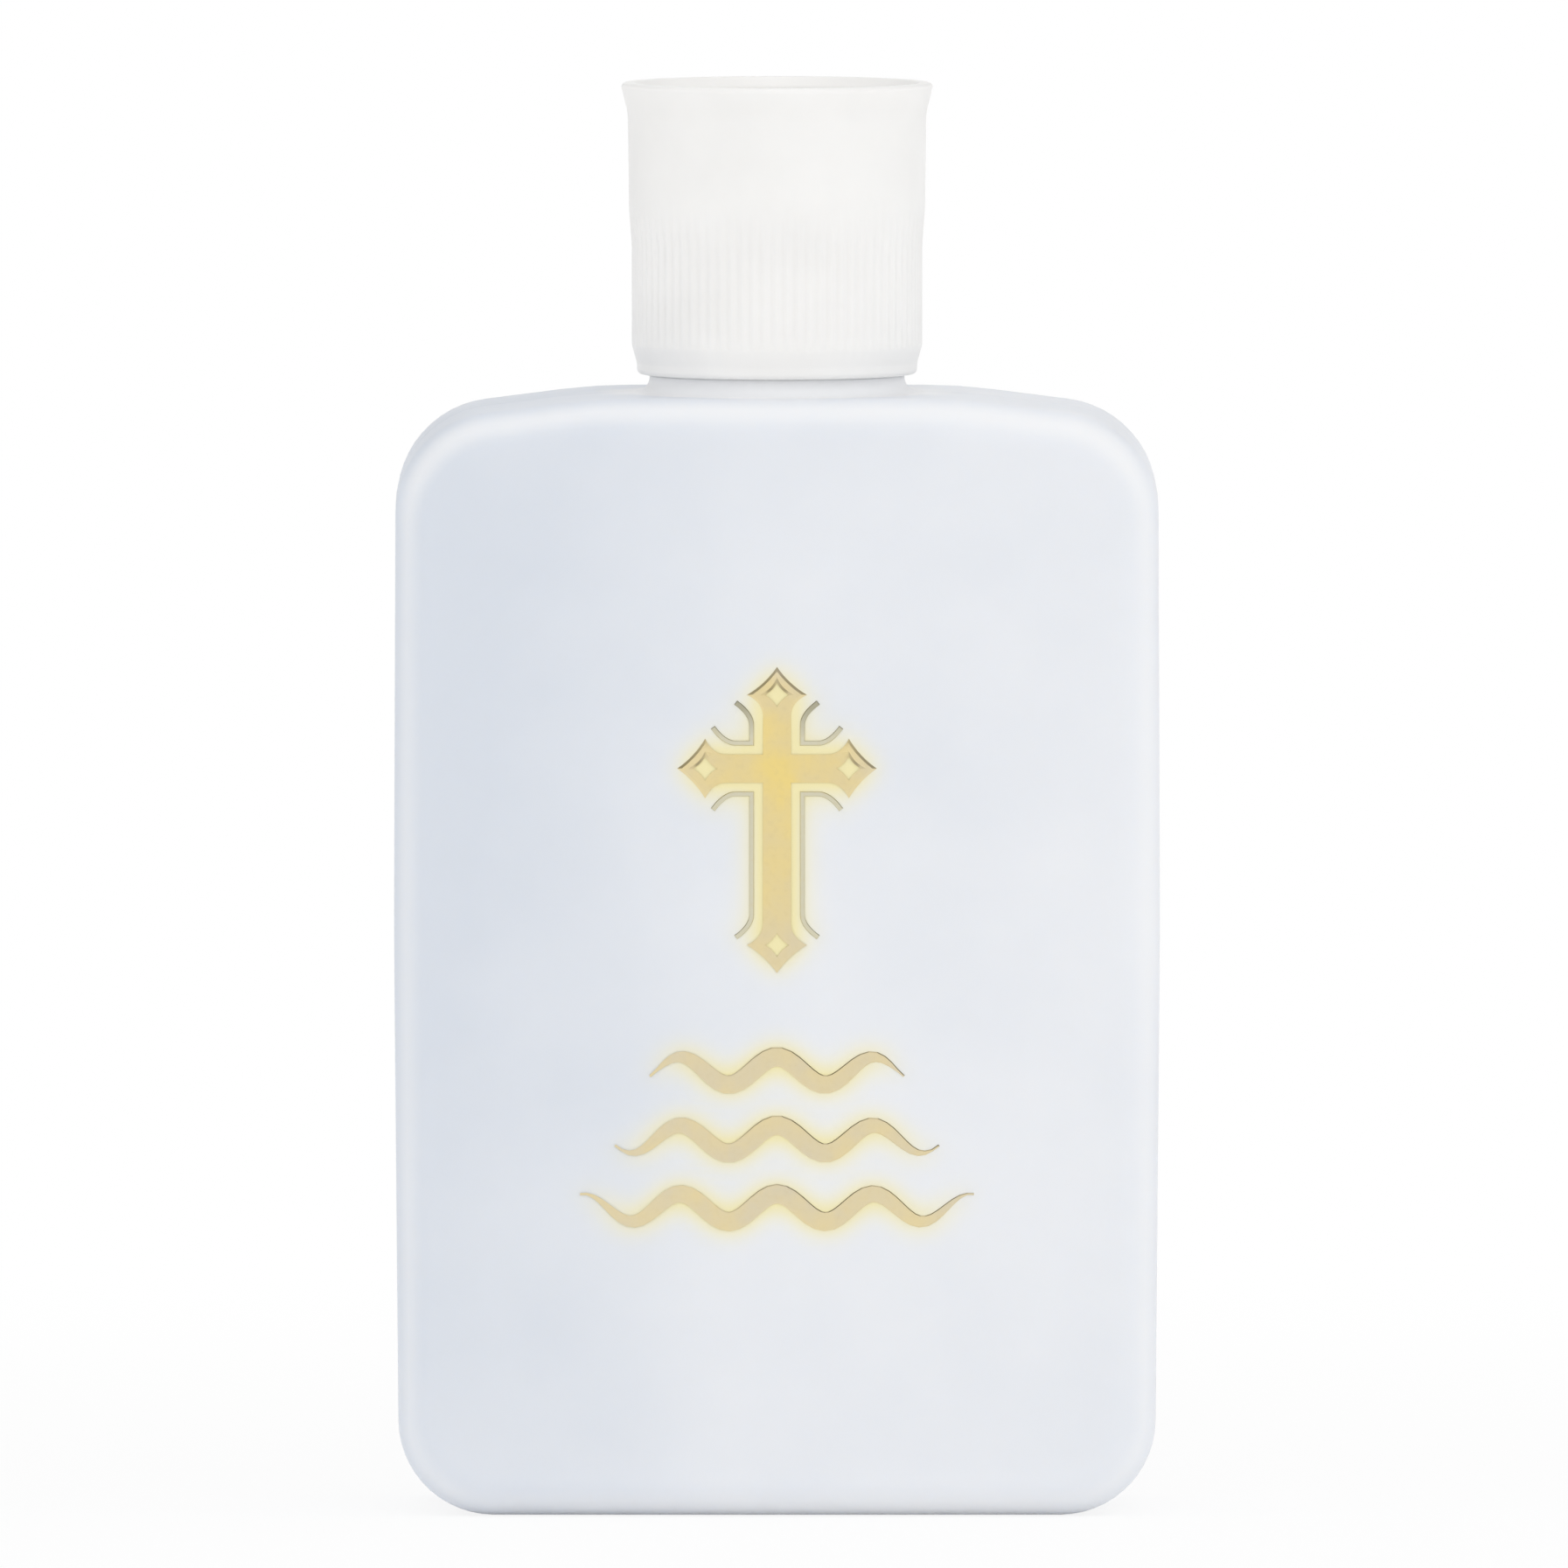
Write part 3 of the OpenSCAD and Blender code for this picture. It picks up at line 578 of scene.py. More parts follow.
def cap_parts(sizes):
    """Cap turned from one closed profile, with ribs, thread and the saddle on its deck.

    The skirt's radius loses rib_depth x (1 - cos(n a)) / 2, which fades out over the foot and into the band.
    """
    foot, top = CAP_FOOT.z, CAP_TOP.z
    under_deck, deck = LINER_TOP.z, LINER_TOP.z + sizes.deck
    foot_top, band = foot + sizes.foot_height, top - sizes.band_height
    step, soft, fine = 0.7 * MM, 0.3 * MM, 0.15 * MM
    wide, flare = 8 * step, 4 * MM
    corners = [
        (sizes.bore, foot, fine),
        (sizes.foot, foot, sizes.foot_round),
        (sizes.foot, foot_top - step, step),
        (sizes.skirt, foot_top + step, step),
        (sizes.skirt, band - 2 * step, wide),
        (sizes.band, band + 2 * step, wide),
        (sizes.band_top, top - sizes.flare_height, flare),
        (sizes.lip, top, sizes.lip_round),
        (sizes.chamber + sizes.mouth, top, soft),
        (sizes.chamber, top - sizes.mouth, soft),
        (sizes.chamber, deck, soft),
        (sizes.orifice, deck, fine),
        (sizes.orifice, under_deck, fine),
        (sizes.bore, under_deck, soft),
    ]
    profile, normal = rounded_path(corners, spacing=0.55 * MM)
    radius, height = profile.T
    angle = ring_angles(sizes.ribs * RIB_SIDES)
    groove = sizes.rib_depth * (1 - np.cos(sizes.ribs * angle)) / 2
    run = smoothstep(foot_top, foot_top + 3 * step, height) * (normal[:, 0] > 0)
    run *= smoothstep(band + sizes.rib_run_out / 2, band - sizes.rib_run_out / 2, height)
    low = foot + sizes.thread_rise
    pitch = bpy.context.scene.bottle_sizes.thread_pitch
    ridge = thread_ridge(angle, height, low, sizes, pitch) * sizes.thread_depth
    wall = (normal[:, 0] < -FACING) & (np.abs(radius - sizes.bore) < WELD)
    shaped = radius[:, None] - run[:, None] * groove - wall[:, None] * ridge
    return [grid_part(turned(shaped, height, angle), wrap_rows=True), saddle_part(sizes, deck)]


def saddle_part(sizes, deck):
    """Block on the deck with a round bed for the valve barrel: a front-to-back section carried along X."""
    sunk = 0.3 * MM
    half = sizes.saddle_width / 2
    top = deck + sizes.saddle_height
    opening = math.acos((PIVOT.z - top) / sizes.bed)
    bed = np.linspace(opening, -opening, BED_POINTS)
    section = np.concatenate([
        [[-half, deck - sunk], [half, deck - sunk], [half, top]],
        np.stack([sizes.bed * np.sin(bed), PIVOT.z - sizes.bed * np.cos(bed)], 1),
        [[-half, top]],
    ])
    return bar_part(section, sizes.barrel_length)


def bar_part(section, run):
    """Closed bar of a y, z section carried along X, centred on the axis."""
    count = len(section)
    ends = np.repeat([-run / 2, run / 2], count)
    points = np.column_stack([ends, np.tile(section, (2, 1))])
    vertices, blocks = grid_part(points.reshape(2, count, 3))
    return vertices, blocks + [np.arange(2 * count).reshape(2, count)]


def disc_parts(sizes):
    """Press disc about its pivot: plate with finger dish, valve barrel, spout with its channel, two pins.

    The dish is the part of a ball below the plate's face, softened at its rim as (h + sqrt(h^2 + s^2)) / 2.
    """
    half = sizes.disc_thickness / 2
    rim = math.sqrt(sizes.disc ** 2 - half ** 2)
    corners = [(0, -half, 0), (rim, -half, sizes.disc_round), (rim, half, sizes.disc_round), (0, half, 0)]
    profile, _ = rounded_path(corners, spacing=0.3 * MM, closed=False)
    plate = turned(profile[:, :1], profile[:, 1], ring_angles(DISC_SIDES))
    ball = (sizes.dish ** 2 + sizes.dish_depth ** 2) / (2 * sizes.dish_depth)
    away = np.hypot(plate[..., 0], plate[..., 1] - sizes.dish_offset)
    sink = np.sqrt(np.maximum(ball ** 2 - away ** 2, 0)) - (ball - sizes.dish_depth)
    soft = (sink + np.sqrt(sink ** 2 + sizes.dish_blend ** 2)) / 2
    plate[..., 2] -= np.where(plate[..., 2] > 0, soft, 0)

    arc = np.linspace(math.pi, 2 * math.pi, BARREL_POINTS)
    barrel = bar_part(sizes.barrel * np.stack([np.cos(arc), np.sin(arc)], 1), sizes.barrel_length)
    parts = [grid_part(plate), barrel, spout_part(sizes)]
    parts += [pin_part(sizes, side) for side in (-1, 1)]
    return [(vertices + np.array(PIVOT), blocks) for vertices, blocks in parts]


def spout_part(sizes):
    """Tube towards -Y whose open end lies on the ball that the disc turns in, |P| = disc radius."""
    soft, end = 0.15 * MM, sizes.disc
    corners = [
        (sizes.channel, 0, 0), (sizes.spout, 0, 0), (sizes.spout, end, soft), (sizes.channel, end, soft),
    ]
    profile, _ = rounded_path(corners, spacing=0.6 * MM)
    tube = turned(profile[:, :1], profile[:, 1], ring_angles(SPOUT_SIDES))
    x, z = tube[..., 0], tube[..., 1] - sizes.spout_drop
    y = -tube[..., 2] * np.sqrt(sizes.disc ** 2 - x ** 2 - z ** 2) / sizes.disc
    return grid_part(np.stack([x, y, z], -1), wrap_rows=True)


def pin_part(sizes, side):
    """Pivot pin along X on one side, with a rounded end."""
    soft = 0.2 * MM
    start, end = sizes.disc - sizes.pin_root, sizes.pin_end
    corners = [(0, start, 0), (sizes.pin, start, 0), (sizes.pin, end, soft), (0, end, 0)]
    profile, _ = rounded_path(corners, spacing=0.5 * MM, closed=False)
    pin = turned(profile[:, :1], profile[:, 1], ring_angles(PIN_SIDES))
    return grid_part(np.stack([side * pin[..., 2], pin[..., 0], pin[..., 1]], -1))


def star_press(points, sizes):
    """Distance |dx| + |dz| to the nearest star of the cross, dz from it, and the share of the press.

    The die pressed hardest round the stars, so the share eases from 1 at a point to 0 along the bars. It
    also eases from 1 at the crossing to 0 at the lowest star, and to 0 on the inner side of a side star.
    """
    level, lowest = CROSS_HIGH.z - sizes.crossing, CROSS_LOW.z + sizes.star_back
    middles = np.array([
        (CROSS_LOW.x + sizes.star_back, level), (CROSS_HIGH.x - sizes.star_back, level),
        (0, lowest), (0, CROSS_HIGH.z - sizes.star_back),
    ])
    offsets = points[:, None, ::2] - middles
    distances = np.abs(offsets).sum(-1)
    nearest = distances.argmin(1)
    everywhere = np.arange(len(points))
    distance, above = distances[everywhere, nearest], offsets[everywhere, nearest, 1]
    share = smoothstep(sizes.point_reach + sizes.point_soft, sizes.point_reach, distance)
    share *= smoothstep(lowest + sizes.point_reach, level - sizes.point_reach, points[:, 2])
    share *= smoothstep(-sizes.star_soft, 0, np.abs(points[:, 0]) - np.abs(middles[nearest, 0]))
    return distance, above, share


def foil_mesh(name, slope):
    """Mesh of a foil patch from its CAD outline, pressed thin at its edges and lying on the curved panel.

    The face is lowered to the lip's thickness, then inset by slope and raised again to its full height.
    On the cross the lip is that low only where it was pressed hard, and above a star it is the other way
    about: the star's edge stands up out of a hollow. On the ripples the press grows from left to right.
    Each point moves back by the panel's own fall, as pillowed gives it.
    """
    sizes, bottle = bpy.context.scene.foil_sizes, bpy.context.scene.bottle_sizes
    mesh = frame["nodes"][name].data.copy()
    mesh.name = name + "_pressed"
    points = vertex_places(mesh)
    back = points[:, 1].max()
    thickness = back - points[:, 1].min()
    points[:, 1] = np.maximum(points[:, 1], back - sizes.lip)
    mesh.vertices.foreach_set("co", points.ravel())
    pressed = bmesh.new()
    pressed.from_mesh(mesh)
    bmesh.ops.remove_doubles(pressed, verts=pressed.verts, dist=WELD)
    pressed.normal_update()
    face = [f for f in pressed.faces if f.normal.y < -FACING]
    bmesh.ops.inset_region(
        pressed, faces=face, thickness=slope, depth=thickness - sizes.lip,
        use_boundary=True, use_even_offset=True,
    )
    pressed.to_mesh(mesh)
    pressed.free()
    points = vertex_places(mesh)
    front = points[:, 1] < back - sizes.lip / 2
    raised = points[:, 1] < back - (sizes.lip + thickness) / 2
    sink = np.where(raised, 0, thickness - sizes.lip)
    if name == "cross_foil":
        distance, above, press = star_press(points, sizes)
        star = distance < sizes.star_reach
        hollow = np.where(raised, (thickness - sizes.hollow) * smoothstep(0, sizes.star_soft, above), 0)
        sink = np.where(star, hollow, sink) * press
    elif name in RIPPLES:
        sink = sink * smoothstep(-sizes.ripple_tilt, sizes.ripple_tilt, points[:, 0])
    points[front, 1] = (back - thickness + sink)[front]
    panel = points * [1, 0, 1] - [0, bottle.half_depth, 0]
    points[:, 1] += (pillowed(bottle, panel) - panel)[:, 1]
    mesh.vertices.foreach_set("co", points.ravel())
    mesh.shade_flat()
    return mesh


def stamp(names, slope, material):
    """Stamps foil patches of one finish on the front panel, each in place of its CAD node."""
    for name in names:
        mesh = foil_mesh(name, slope)
        dress(mesh.name, mesh, material, "bottle", [name])


def add_node(tree, kind, inputs=None, **settings):
    """Adds a node with its settings; an input given as a node or socket is linked, any other value is set.

    A node is linked by the first of its outputs that is in use.
    """
    node = tree.nodes.new(kind)
    for name, value in settings.items():
        setattr(node, name, value)
    for key, value in (inputs or {}).items():
        if isinstance(value, bpy.types.Node):
            value = next(socket for socket in value.outputs if socket.enabled)
        if isinstance(value, bpy.types.NodeSocket):
            tree.links.new(value, node.inputs[key])
        else:
            node.inputs[key].default_value = value
    return node


def new_material(name):
    """Empty node material, add_node for its tree and the Object coordinates of its piece."""
    material = bpy.data.materials.new(name)
    material.use_nodes = True
    material.node_tree.nodes.clear()
    add = functools.partial(add_node, material.node_tree)
    return material, add, add("ShaderNodeTexCoord").outputs["Object"]


def per_metre(millimetres):
    """Noise scale, in features to a metre, for a feature of the given size."""
    return 1 / (millimetres * MM)


def hdpe_material(finishes):
    """Natural high-density polyethylene, extrusion blow moulded against a blasted mould.

    To the eye: milky and slightly bluish, soft waxy sheen, broad clouds where the wall's thickness varies,
    cooler towards the left and the shoulder, partly as painted shade, and a painted highlight along the
    panel edges, with faint upright lines from the die and a fine orange peel. Round the foil the wall takes a
    warm cream tint; there, and on the neck, which is painted lighter against the shade under the cap, it
    lets less light through.
    """
    material, add, place = new_material("natural HDPE, blow moulded")
    axis = add("ShaderNodeSeparateXYZ", {0: place}).outputs
    cloud = add("ShaderNodeTexNoise", {"Vector": place, "Scale": per_metre(18), "Detail": 3.0})
    cloudy = add("ShaderNodeMapRange", {0: cloud, FROM_LOW: 0.3, FROM_HIGH: 0.7, TO_LOW: -0.2, TO_HIGH: 0.2})
    # Cooler towards the left: partly the wall's own cooler tone, partly painted shade on the side away from
    # the light at the right.
    left_tone_and_shade = add(
        "ShaderNodeMapRange",
        {0: axis["X"], FROM_LOW: -30 * MM, FROM_HIGH: 6 * MM, TO_LOW: 0.9, TO_HIGH: 0.1},
        interpolation_type="SMOOTHSTEP",
    )
    # Cooler towards the shoulder and paler low down: painted shade near the top, painted light near the base
    # against the floor's shade.
    painted_shade_upward = add(
        "ShaderNodeMapRange",
        {0: axis["Z"], FROM_LOW: 0.0, FROM_HIGH: BOTTLE_TOP.z, TO_LOW: -0.1, TO_HIGH: 0.25},
    )
    uneven = add("ShaderNodeMath", {0: cloudy, 1: painted_shade_upward}, operation="ADD")
    # cool mixes the random clouds with the painted shade from the left and towards the shoulder.
    cool = add("ShaderNodeMath", {0: left_tone_and_shade, 1: uneven}, operation="ADD", use_clamp=True)
    wall = add(
        "ShaderNodeMix", {SHARE: cool, FIRST: finishes.hdpe, SECOND: finishes.hdpe_cool}, data_type="RGBA"
    )
    # Painted light: the wall turns towards hdpe_pale as a painted highlight on the panel edges and on the
    # shaded neck.
    pale = add("ShaderNodeAttribute", attribute_name="painted_light_share").outputs["Fac"]
    wall_with_painted_light = add("ShaderNodeMix", {SHARE: pale, FIRST: wall, SECOND: finishes.hdpe_pale}, data_type="RGBA")
    # Warm cream tint round the foil.
    halo = add("ShaderNodeAttribute", attribute_name="foil_halo").outputs["Fac"]
    tint = add("ShaderNodeMix", {SHARE: halo, FIRST: wall_with_painted_light, SECOND: finishes.margin}, data_type="RGBA")
    neck = add("ShaderNodeMapRange", {0: pale, FROM_LOW: 0.6, FROM_HIGH: 0.9})
    dense = add("ShaderNodeMath", {0: halo, 1: neck}, operation="MAXIMUM")
    milk = add("ShaderNodeMapRange", {0: dense, FROM_HIGH: 0.35, TO_LOW: 0.3, TO_HIGH: 0.0})
    upright = add("ShaderNodeMapping", {"Vector": place, "Scale": (1, 1, 0.03)})
    die_lines = add("ShaderNodeTexNoise", {"Vector": upright, "Scale": per_metre(1.4), "Detail": 2.0})
    lines_bump = add("ShaderNodeBump", {"Height": die_lines, "Strength": 0.25, "Distance": 0.02 * MM})
    peel = add("ShaderNodeTexNoise", {"Vector": place, "Scale": per_metre(0.7), "Detail": 2.0})
    bump = add(
        "ShaderNodeBump", {"Height": peel, "Strength": 0.35, "Distance": 0.02 * MM, "Normal": lines_bump}
    )
    sheen = add("ShaderNodeMapRange", {0: die_lines, TO_LOW: 0.4, TO_HIGH: 0.5})
    shader = add(
        "ShaderNodeBsdfPrincipled",
        {
            "Base Color": tint, "Roughness": sheen, "IOR": 1.54, "Normal": bump, "Subsurface Weight": milk,
            "Subsurface Radius": (0.9, 1.0, 1.15), "Subsurface Scale": 2 * MM,
        },
    )
    add("ShaderNodeOutputMaterial", {"Surface": shader})
    return material


def polypropylene_material(finishes):
    """White polypropylene, injection moulded.

    To the eye: warm white, a little glossier than the bottle, with faint flow clouds and a fine spark
    texture.
    """
    material, add, place = new_material("white polypropylene, injection moulded")
    flow = add("ShaderNodeTexNoise", {"Vector": place, "Scale": per_metre(7), "Detail": 3.0})
    share = add("ShaderNodeMapRange", {0: flow, FROM_LOW: 0.35, FROM_HIGH: 0.7})
    body = add(
        "ShaderNodeMix", {SHARE: share, FIRST: finishes.cap, SECOND: finishes.cap_shade}, data_type="RGBA"
    )
    spark = add("ShaderNodeTexNoise", {"Vector": place, "Scale": per_metre(0.35), "Detail": 2.0})
    bump = add("ShaderNodeBump", {"Height": spark, "Strength": 0.3, "Distance": 0.012 * MM})
    sheen = add("ShaderNodeMapRange", {0: flow, TO_LOW: 0.34, TO_HIGH: 0.44})
    shader = add(
        "ShaderNodeBsdfPrincipled",
        {
            "Base Color": body, "Roughness": sheen, "IOR": 1.49, "Normal": bump, "Subsurface Weight": 0.2,
            "Subsurface Radius": (1.0, 0.97, 0.92), "Subsurface Scale": 1 * MM,
        },
    )
    add("ShaderNodeOutputMaterial", {"Surface": shader})
    return material


def gold_foil_material(name, finishes, rich, pale, crossing, painted_dark_share=0.0):
    """Gold hot-stamping foil, a lacquered metal film pressed on with a heated die.

    To the eye: satin gold that is deepest at the middle of the cross and worn paler towards the ends, with
    small bronze flecks where the film is thin. Below the crossing, heights count half, because the lower
    arm is twice as long as the others. Towards the upper ends of thin film a dark colour grows in, as painted
    dark reflection.
    """
    material, add, place = new_material(name)
    axis = add("ShaderNodeSeparateXYZ", {0: place}).outputs
    height = add("ShaderNodeMath", {0: axis["Z"], 1: CROSS_HIGH.z - crossing}, operation="SUBTRACT")
    half = add("ShaderNodeMath", {0: height, 1: 0.5}, operation="MULTIPLY")
    drawn = add("ShaderNodeMath", {0: height, 1: half}, operation="MAXIMUM")
    arm = add("ShaderNodeCombineXYZ", {"X": axis["X"], "Z": drawn})
    away = add("ShaderNodeVectorMath", {0: arm}, operation="LENGTH")
    near = add(
        "ShaderNodeMapRange", {0: away, FROM_LOW: 0.05 * crossing, FROM_HIGH: 0.27 * crossing, TO_HIGH: 0.35}
    )
    ends = add("ShaderNodeMapRange", {0: away, FROM_LOW: 0.5 * crossing, FROM_HIGH: crossing, TO_HIGH: 0.45})
    worn = add("ShaderNodeMath", {0: near, 1: ends}, operation="ADD")
    blotch = add("ShaderNodeTexNoise", {"Vector": place, "Scale": per_metre(3), "Detail": 3.0})
    uneven = add("ShaderNodeMapRange", {0: blotch, FROM_LOW: 0.3, FROM_HIGH: 0.7, TO_LOW: -0.2, TO_HIGH: 0.2})
    paleness = add("ShaderNodeMath", {0: worn, 1: uneven}, operation="ADD", use_clamp=True)
    gold = add("ShaderNodeMix", {SHARE: paleness, FIRST: rich, SECOND: pale}, data_type="RGBA")
    fleck = add("ShaderNodeTexNoise", {"Vector": place, "Scale": per_metre(0.5), "Detail": 4.0})
    thin = add("ShaderNodeMapRange", {0: fleck, FROM_LOW: 0.5, FROM_HIGH: 0.8, TO_HIGH: 0.2})
    film = add("ShaderNodeMix", {SHARE: thin, FIRST: gold, SECOND: finishes.gold_dark}, data_type="RGBA")
    # Painted dark reflection: the thin film darkens towards its upper ends.
    high = add(
        "ShaderNodeMapRange",
        {0: height, FROM_LOW: 0.3 * crossing, FROM_HIGH: 0.6 * crossing, TO_HIGH: painted_dark_share},
    )
    with_painted_dark = add("ShaderNodeMix", {SHARE: high, FIRST: film, SECOND: finishes.gold_painted_dark}, data_type="RGBA")
    bump = add("ShaderNodeBump", {"Height": fleck, "Strength": 0.3, "Distance": 0.01 * MM})
    satin = add("ShaderNodeMapRange", {0: blotch, TO_LOW: 0.26, TO_HIGH: 0.38})
    shader = add(
        "ShaderNodeBsdfPrincipled", {"Base Color": with_painted_dark, "Metallic": 1.0, "Roughness": satin, "Normal": bump}
    )
    add("ShaderNodeOutputMaterial", {"Surface": shader})
    return material


def foam_material(finishes):
    """Expanded polyethylene foam, cut from sheet. To the eye: matt white with fine round cells."""
    material, add, place = new_material("polyethylene foam, cut sheet")
    cells = add("ShaderNodeTexVoronoi", {"Vector": place, "Scale": per_metre(0.3)})
    body = add(
        "ShaderNodeMix", {SHARE: cells, FIRST: finishes.foam_shade, SECOND: finishes.foam}, data_type="RGBA"
    )
    bump = add("ShaderNodeBump", {"Height": cells, "Strength": 0.5, "Distance": 0.05 * MM})
    shader = add(
        "ShaderNodeBsdfPrincipled", {"Base Color": body, "Roughness": 0.9, "IOR": 1.5, "Normal": bump}
    )
    add("ShaderNodeOutputMaterial", {"Surface": shader})
    return material


def seen_rays(add):
    """1 for rays that see the studio itself: from the camera, from gloss and through glass."""
    path = add("ShaderNodeLightPath").outputs
    gloss = add(
        "ShaderNodeMath", {0: path["Is Glossy Ray"], 1: path["Is Transmission Ray"]}, operation="MAXIMUM"
    )
    return add("ShaderNodeMath", {0: path["Is Camera Ray"], 1: gloss}, operation="MAXIMUM")


def paper_material(finishes):
    """White backdrop paper. It keeps the bottle's shadow close by and runs out to plain white further off."""
    material, add, place = new_material("white backdrop paper")
    away = add("ShaderNodeVectorMath", {0: place}, operation="LENGTH")
    far = add(
        "ShaderNodeMapRange", {0: away, FROM_LOW: 60 * MM, FROM_HIGH: 320 * MM},
        interpolation_type="SMOOTHSTEP",
    )
    glow = add("ShaderNodeMapRange", {0: far, TO_LOW: 0.85, TO_HIGH: 1.0})
    paper = add("ShaderNodeBsdfPrincipled", {"Base Color": finishes.paper, "Roughness": 0.9, "IOR": 1.5})
    white = add("ShaderNodeEmission")
    shown = add("ShaderNodeMixShader", {0: glow, 1: paper, 2: white})
    surface = add("ShaderNodeMixShader", {0: seen_rays(add), 1: paper, 2: shown})
    add("ShaderNodeOutputMaterial", {"Surface": surface})
    return material


def set_world(studio):
    """Pale room, of one level where it only lights and white where it is seen.

    Two dark flags at the upper left and right show in gloss, to give metal its contrast.
    """
    world = bpy.data.worlds.new("pale room")
    bpy.context.scene.world = world
    world.use_nodes = True
    world.node_tree.nodes.clear()
    add = functools.partial(add_node, world.node_tree)
    way = add("ShaderNodeTexCoord").outputs["Generated"]
    axis = add("ShaderNodeSeparateXYZ", {0: way}).outputs
    aside = add("ShaderNodeMath", {0: axis["X"]}, operation="ABSOLUTE")
    high = add(
        "ShaderNodeMapRange", {0: axis["Z"], FROM_LOW: 0.12, FROM_HIGH: 0.4}, interpolation_type="SMOOTHSTEP"
    )
    wide = add(
        "ShaderNodeMapRange", {0: aside, FROM_LOW: 0.1, FROM_HIGH: 0.35, TO_LOW: 0.2, TO_HIGH: 1.0},
        interpolation_type="SMOOTHSTEP",
    )
    flag = add("ShaderNodeMath", {0: high, 1: wide}, operation="MULTIPLY")
    camera = add("ShaderNodeLightPath").outputs["Is Camera Ray"]
    dark = add("ShaderNodeMath", {0: flag, 1: camera}, operation="SUBTRACT", use_clamp=True)
    look = add("ShaderNodeMapRange", {0: dark, TO_LOW: 1.0, TO_HIGH: studio.flag_look})
    lit = add("ShaderNodeBackground", {"Color": (1, 1, 1, 1), "Strength": studio.room_level})
    shown = add("ShaderNodeBackground", {"Color": (1, 1, 1, 1), "Strength": look})
    mixed = add("ShaderNodeMixShader", {0: seen_rays(add), 1: lit, 2: shown})
    add("ShaderNodeOutputWorld", {"Surface": mixed})


def add_lamp(name, place, size, power):
    """Soft square lamp turned towards the middle of the bottle, seen neither by the camera nor in gloss."""
    light = bpy.data.lights.new(name, "AREA")
    light.size = size
    light.energy = power
    lamp = bpy.data.objects.new(name, light)
    lamp.location = place
    aim = Vector((0, 0, BOTTLE_TOP.z / 2)) - lamp.location
    lamp.rotation_euler = aim.to_track_quat("-Z", "Y").to_euler()
    lamp.visible_camera = False
    lamp.visible_glossy = False
    bpy.context.scene.collection.objects.link(lamp)


def add_camera(studio):
    """Camera in front, a little above the bottle, with a long lens: lens = sensor x distance / width."""
    data = bpy.data.cameras.new("camera")
    camera = bpy.data.objects.new("camera", data)
    aim = Vector((studio.aim_side, 0, studio.aim_height))
    camera.location = Vector((studio.aim_side, -studio.camera_distance, studio.camera_height))
    line = aim - camera.location
    camera.rotation_euler = line.to_track_quat("-Z", "Y").to_euler()
    data.lens = data.sensor_width * line.length / studio.frame_width
    data.clip_end = 4 * studio.camera_distance
    bpy.context.scene.collection.objects.link(camera)
    bpy.context.scene.camera = camera


class BOTTLE_OT_make_bottle(bpy.types.Operator):
    """Make the hollow bottle with its threaded neck"""

    bl_idname = "bottle.make_bottle"
    bl_label = "Bottle"

    def execute(self, context):
        sizes = context.scene.bottle_sizes
        outer, outer_loop = body_shell(sizes, 0, FRONT_RINGS)
        inner, inner_loop = body_shell(sizes, sizes.wall, PLAIN_RINGS)
        neck = neck_grid(sizes, np.arctan2(outer_loop[:, 1], outer_loop[:, 0]))
        joins = [between(outer_loop, neck[0], JOIN_RINGS), between(inner_loop, neck[-1], JOIN_RINGS)]
        parts = outer + inner + [grid_part(grid) for grid in (neck, *joins)]
        material = hdpe_material(context.scene.finishes)
        piece = make_piece("bottle_skin", parts, material, "bottle", ["bottle"])
        points = vertex_places(piece.data)
        shares = {
            "foil_halo": foil_halo(points, context.scene.foil_sizes),
            "painted_light_share": painted_light_shares(points, sizes),
        }
        for name, values in shares.items():
            piece.data.attributes.new(name, "FLOAT", "POINT").data.foreach_set("value", values)
        return {"FINISHED"}


class BOTTLE_OT_make_cap(bpy.types.Operator):
    """Make the ribbed cap with its flared lip, deck and saddle"""

    bl_idname = "bottle.make_cap"
    bl_label = "Cap"

    def execute(self, context):
        material = polypropylene_material(context.scene.finishes)
        parts = cap_parts(context.scene.cap_sizes)
        make_piece("cap_skin", parts, material, "cap", ["cap_shell"])
        return {"FINISHED"}


class BOTTLE_OT_make_disc(bpy.types.Operator):
    """Make the press disc with its finger dish, barrel, spout and pins"""

    bl_idname = "bottle.make_disc"
    bl_label = "Press disc"

    def execute(self, context):
        material = polypropylene_material(context.scene.finishes)
        parts = disc_parts(context.scene.cap_sizes)
        make_piece("disc_skin", parts, material, "disc", ["press_disc"])
        return {"FINISHED"}


class BOTTLE_OT_finish_liner(bpy.types.Operator):
    """Give the foam liner its finish; its CAD shape stays"""

    bl_idname = "bottle.finish_liner"
    bl_label = "Foam liner"

    def execute(self, context):
        liner = frame["nodes"]["neck_liner"]
        liner.data.materials.clear()
        liner.data.materials.append(foam_material(context.scene.finishes))
        return {"FINISHED"}


class BOTTLE_OT_stamp_cross(bpy.types.Operator):
    """Stamp the gold foil cross and the four lines round it"""

    bl_idname = "bottle.stamp_cross"
    bl_label = "Foil cross"

    def execute(self, context):
        foil, finishes = context.scene.foil_sizes, context.scene.finishes
        satin = gold_foil_material(
            "gold hot-stamping foil, satin", finishes, finishes.gold, finishes.gold_pale, foil.crossing
        )
        thin = gold_foil_material(
            "gold hot-stamping foil, thin film", finishes, finishes.gold_line, finishes.gold_line,
            foil.crossing, finishes.painted_dark_share,
        )
        stamp(["cross_foil"], foil.cross_slope, satin)
        stamp(CROSS_LINES, foil.line_slope, thin)
        return {"FINISHED"}


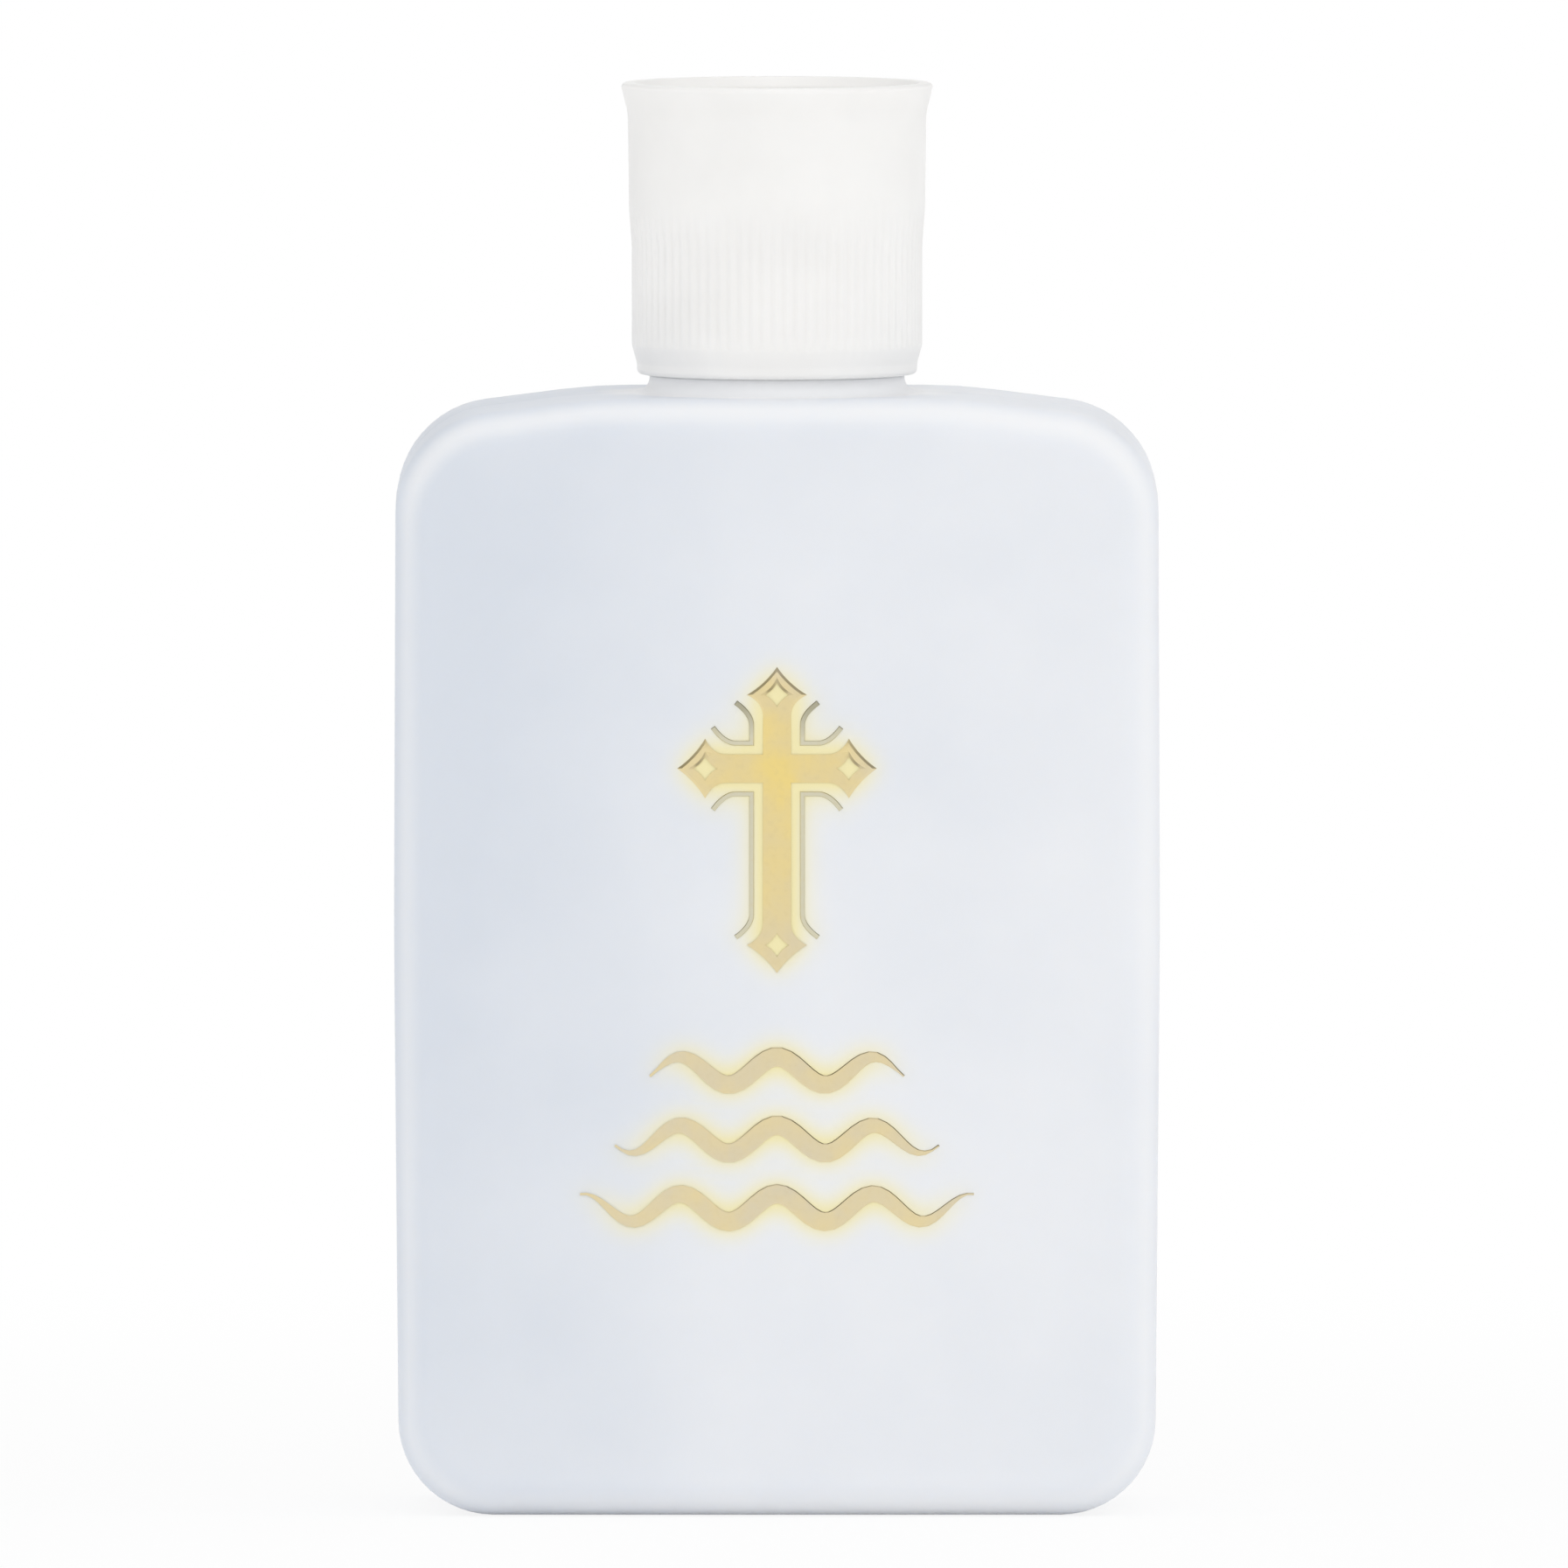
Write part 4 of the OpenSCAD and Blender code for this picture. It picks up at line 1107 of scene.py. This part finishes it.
class BOTTLE_OT_stamp_ripples(bpy.types.Operator):
    """Stamp the three gold foil ripples under the cross"""

    bl_idname = "bottle.stamp_ripples"
    bl_label = "Foil ripples"

    def execute(self, context):
        foil, finishes = context.scene.foil_sizes, context.scene.finishes
        material = gold_foil_material(
            "gold hot-stamping foil, worn", finishes, finishes.gold, finishes.gold_pale, foil.crossing
        )
        stamp(RIPPLES, foil.ripple_slope, material)
        return {"FINISHED"}


class BOTTLE_OT_set_stage(bpy.types.Operator):
    """Set the pale floor, soft lamps, room and camera"""

    bl_idname = "bottle.set_stage"
    bl_label = "Studio"

    def execute(self, context):
        studio = context.scene.studio_sizes
        rings = np.linspace(0, studio.floor_radius, FLOOR_RINGS)
        drop = np.full(len(rings), -studio.floor_drop)
        vertices, (faces,) = grid_part(turned(rings[:, None], drop, ring_angles(FLOOR_SIDES)))
        mesh = bpy.data.meshes.new("floor")
        mesh.from_pydata(vertices.tolist(), [], faces.tolist())
        mesh.materials.append(paper_material(context.scene.finishes))
        floor = bpy.data.objects.new("floor", mesh)
        context.scene.collection.objects.link(floor)
        add_lamp("key", place=(0.45, -0.15, 0.35), size=0.3, power=studio.key_power)
        add_lamp("fill", place=(-0.45, -0.2, 0.3), size=0.3, power=studio.fill_power)
        add_lamp("top", place=(0.1, -0.8, 0.75), size=0.7, power=studio.top_power)
        set_world(studio)
        add_camera(studio)
        context.scene.view_settings.view_transform = "Standard"
        return {"FINISHED"}


class BOTTLE_PT_sidebar(bpy.types.Panel):
    """Sizes, colours and steps of the bottle"""

    bl_label = "Squeeze bottle"
    bl_space_type = "VIEW_3D"
    bl_region_type = "UI"
    bl_category = "Bottle"

    def draw(self, context):
        for operator in OPERATORS:
            self.layout.operator(operator.bl_idname)
        for group_name, group in GROUPS.items():
            box = self.layout.box()
            box.label(text=group.__doc__)
            for name in group.__annotations__:
                box.prop(getattr(context.scene, group_name), name)


GROUPS = {
    "bottle_sizes": BottleSizes,
    "cap_sizes": CapSizes,
    "foil_sizes": FoilSizes,
    "finishes": Finishes,
    "studio_sizes": StudioSizes,
}
OPERATORS = [
    BOTTLE_OT_make_bottle,
    BOTTLE_OT_make_cap,
    BOTTLE_OT_make_disc,
    BOTTLE_OT_finish_liner,
    BOTTLE_OT_stamp_cross,
    BOTTLE_OT_stamp_ripples,
    BOTTLE_OT_set_stage,
]


def register():
    """Registers the property groups, operators and sidebar."""
    for name, group in GROUPS.items():
        bpy.utils.register_class(group)
        setattr(bpy.types.Scene, name, PointerProperty(type=group))
    for operator in OPERATORS:
        bpy.utils.register_class(operator)
    bpy.utils.register_class(BOTTLE_PT_sidebar)


def unregister():
    """Takes the sidebar, operators and property groups away again."""
    bpy.utils.unregister_class(BOTTLE_PT_sidebar)
    for operator in reversed(OPERATORS):
        bpy.utils.unregister_class(operator)
    for name, group in reversed(GROUPS.items()):
        delattr(bpy.types.Scene, name)
        bpy.utils.unregister_class(group)


def main():
    """Makes every piece and the studio."""
    register()
    bpy.ops.bottle.make_bottle()
    bpy.ops.bottle.make_cap()
    bpy.ops.bottle.make_disc()
    bpy.ops.bottle.finish_liner()
    bpy.ops.bottle.stamp_cross()
    bpy.ops.bottle.stamp_ripples()
    bpy.ops.bottle.set_stage()


if __name__ == "__main__":
    main()
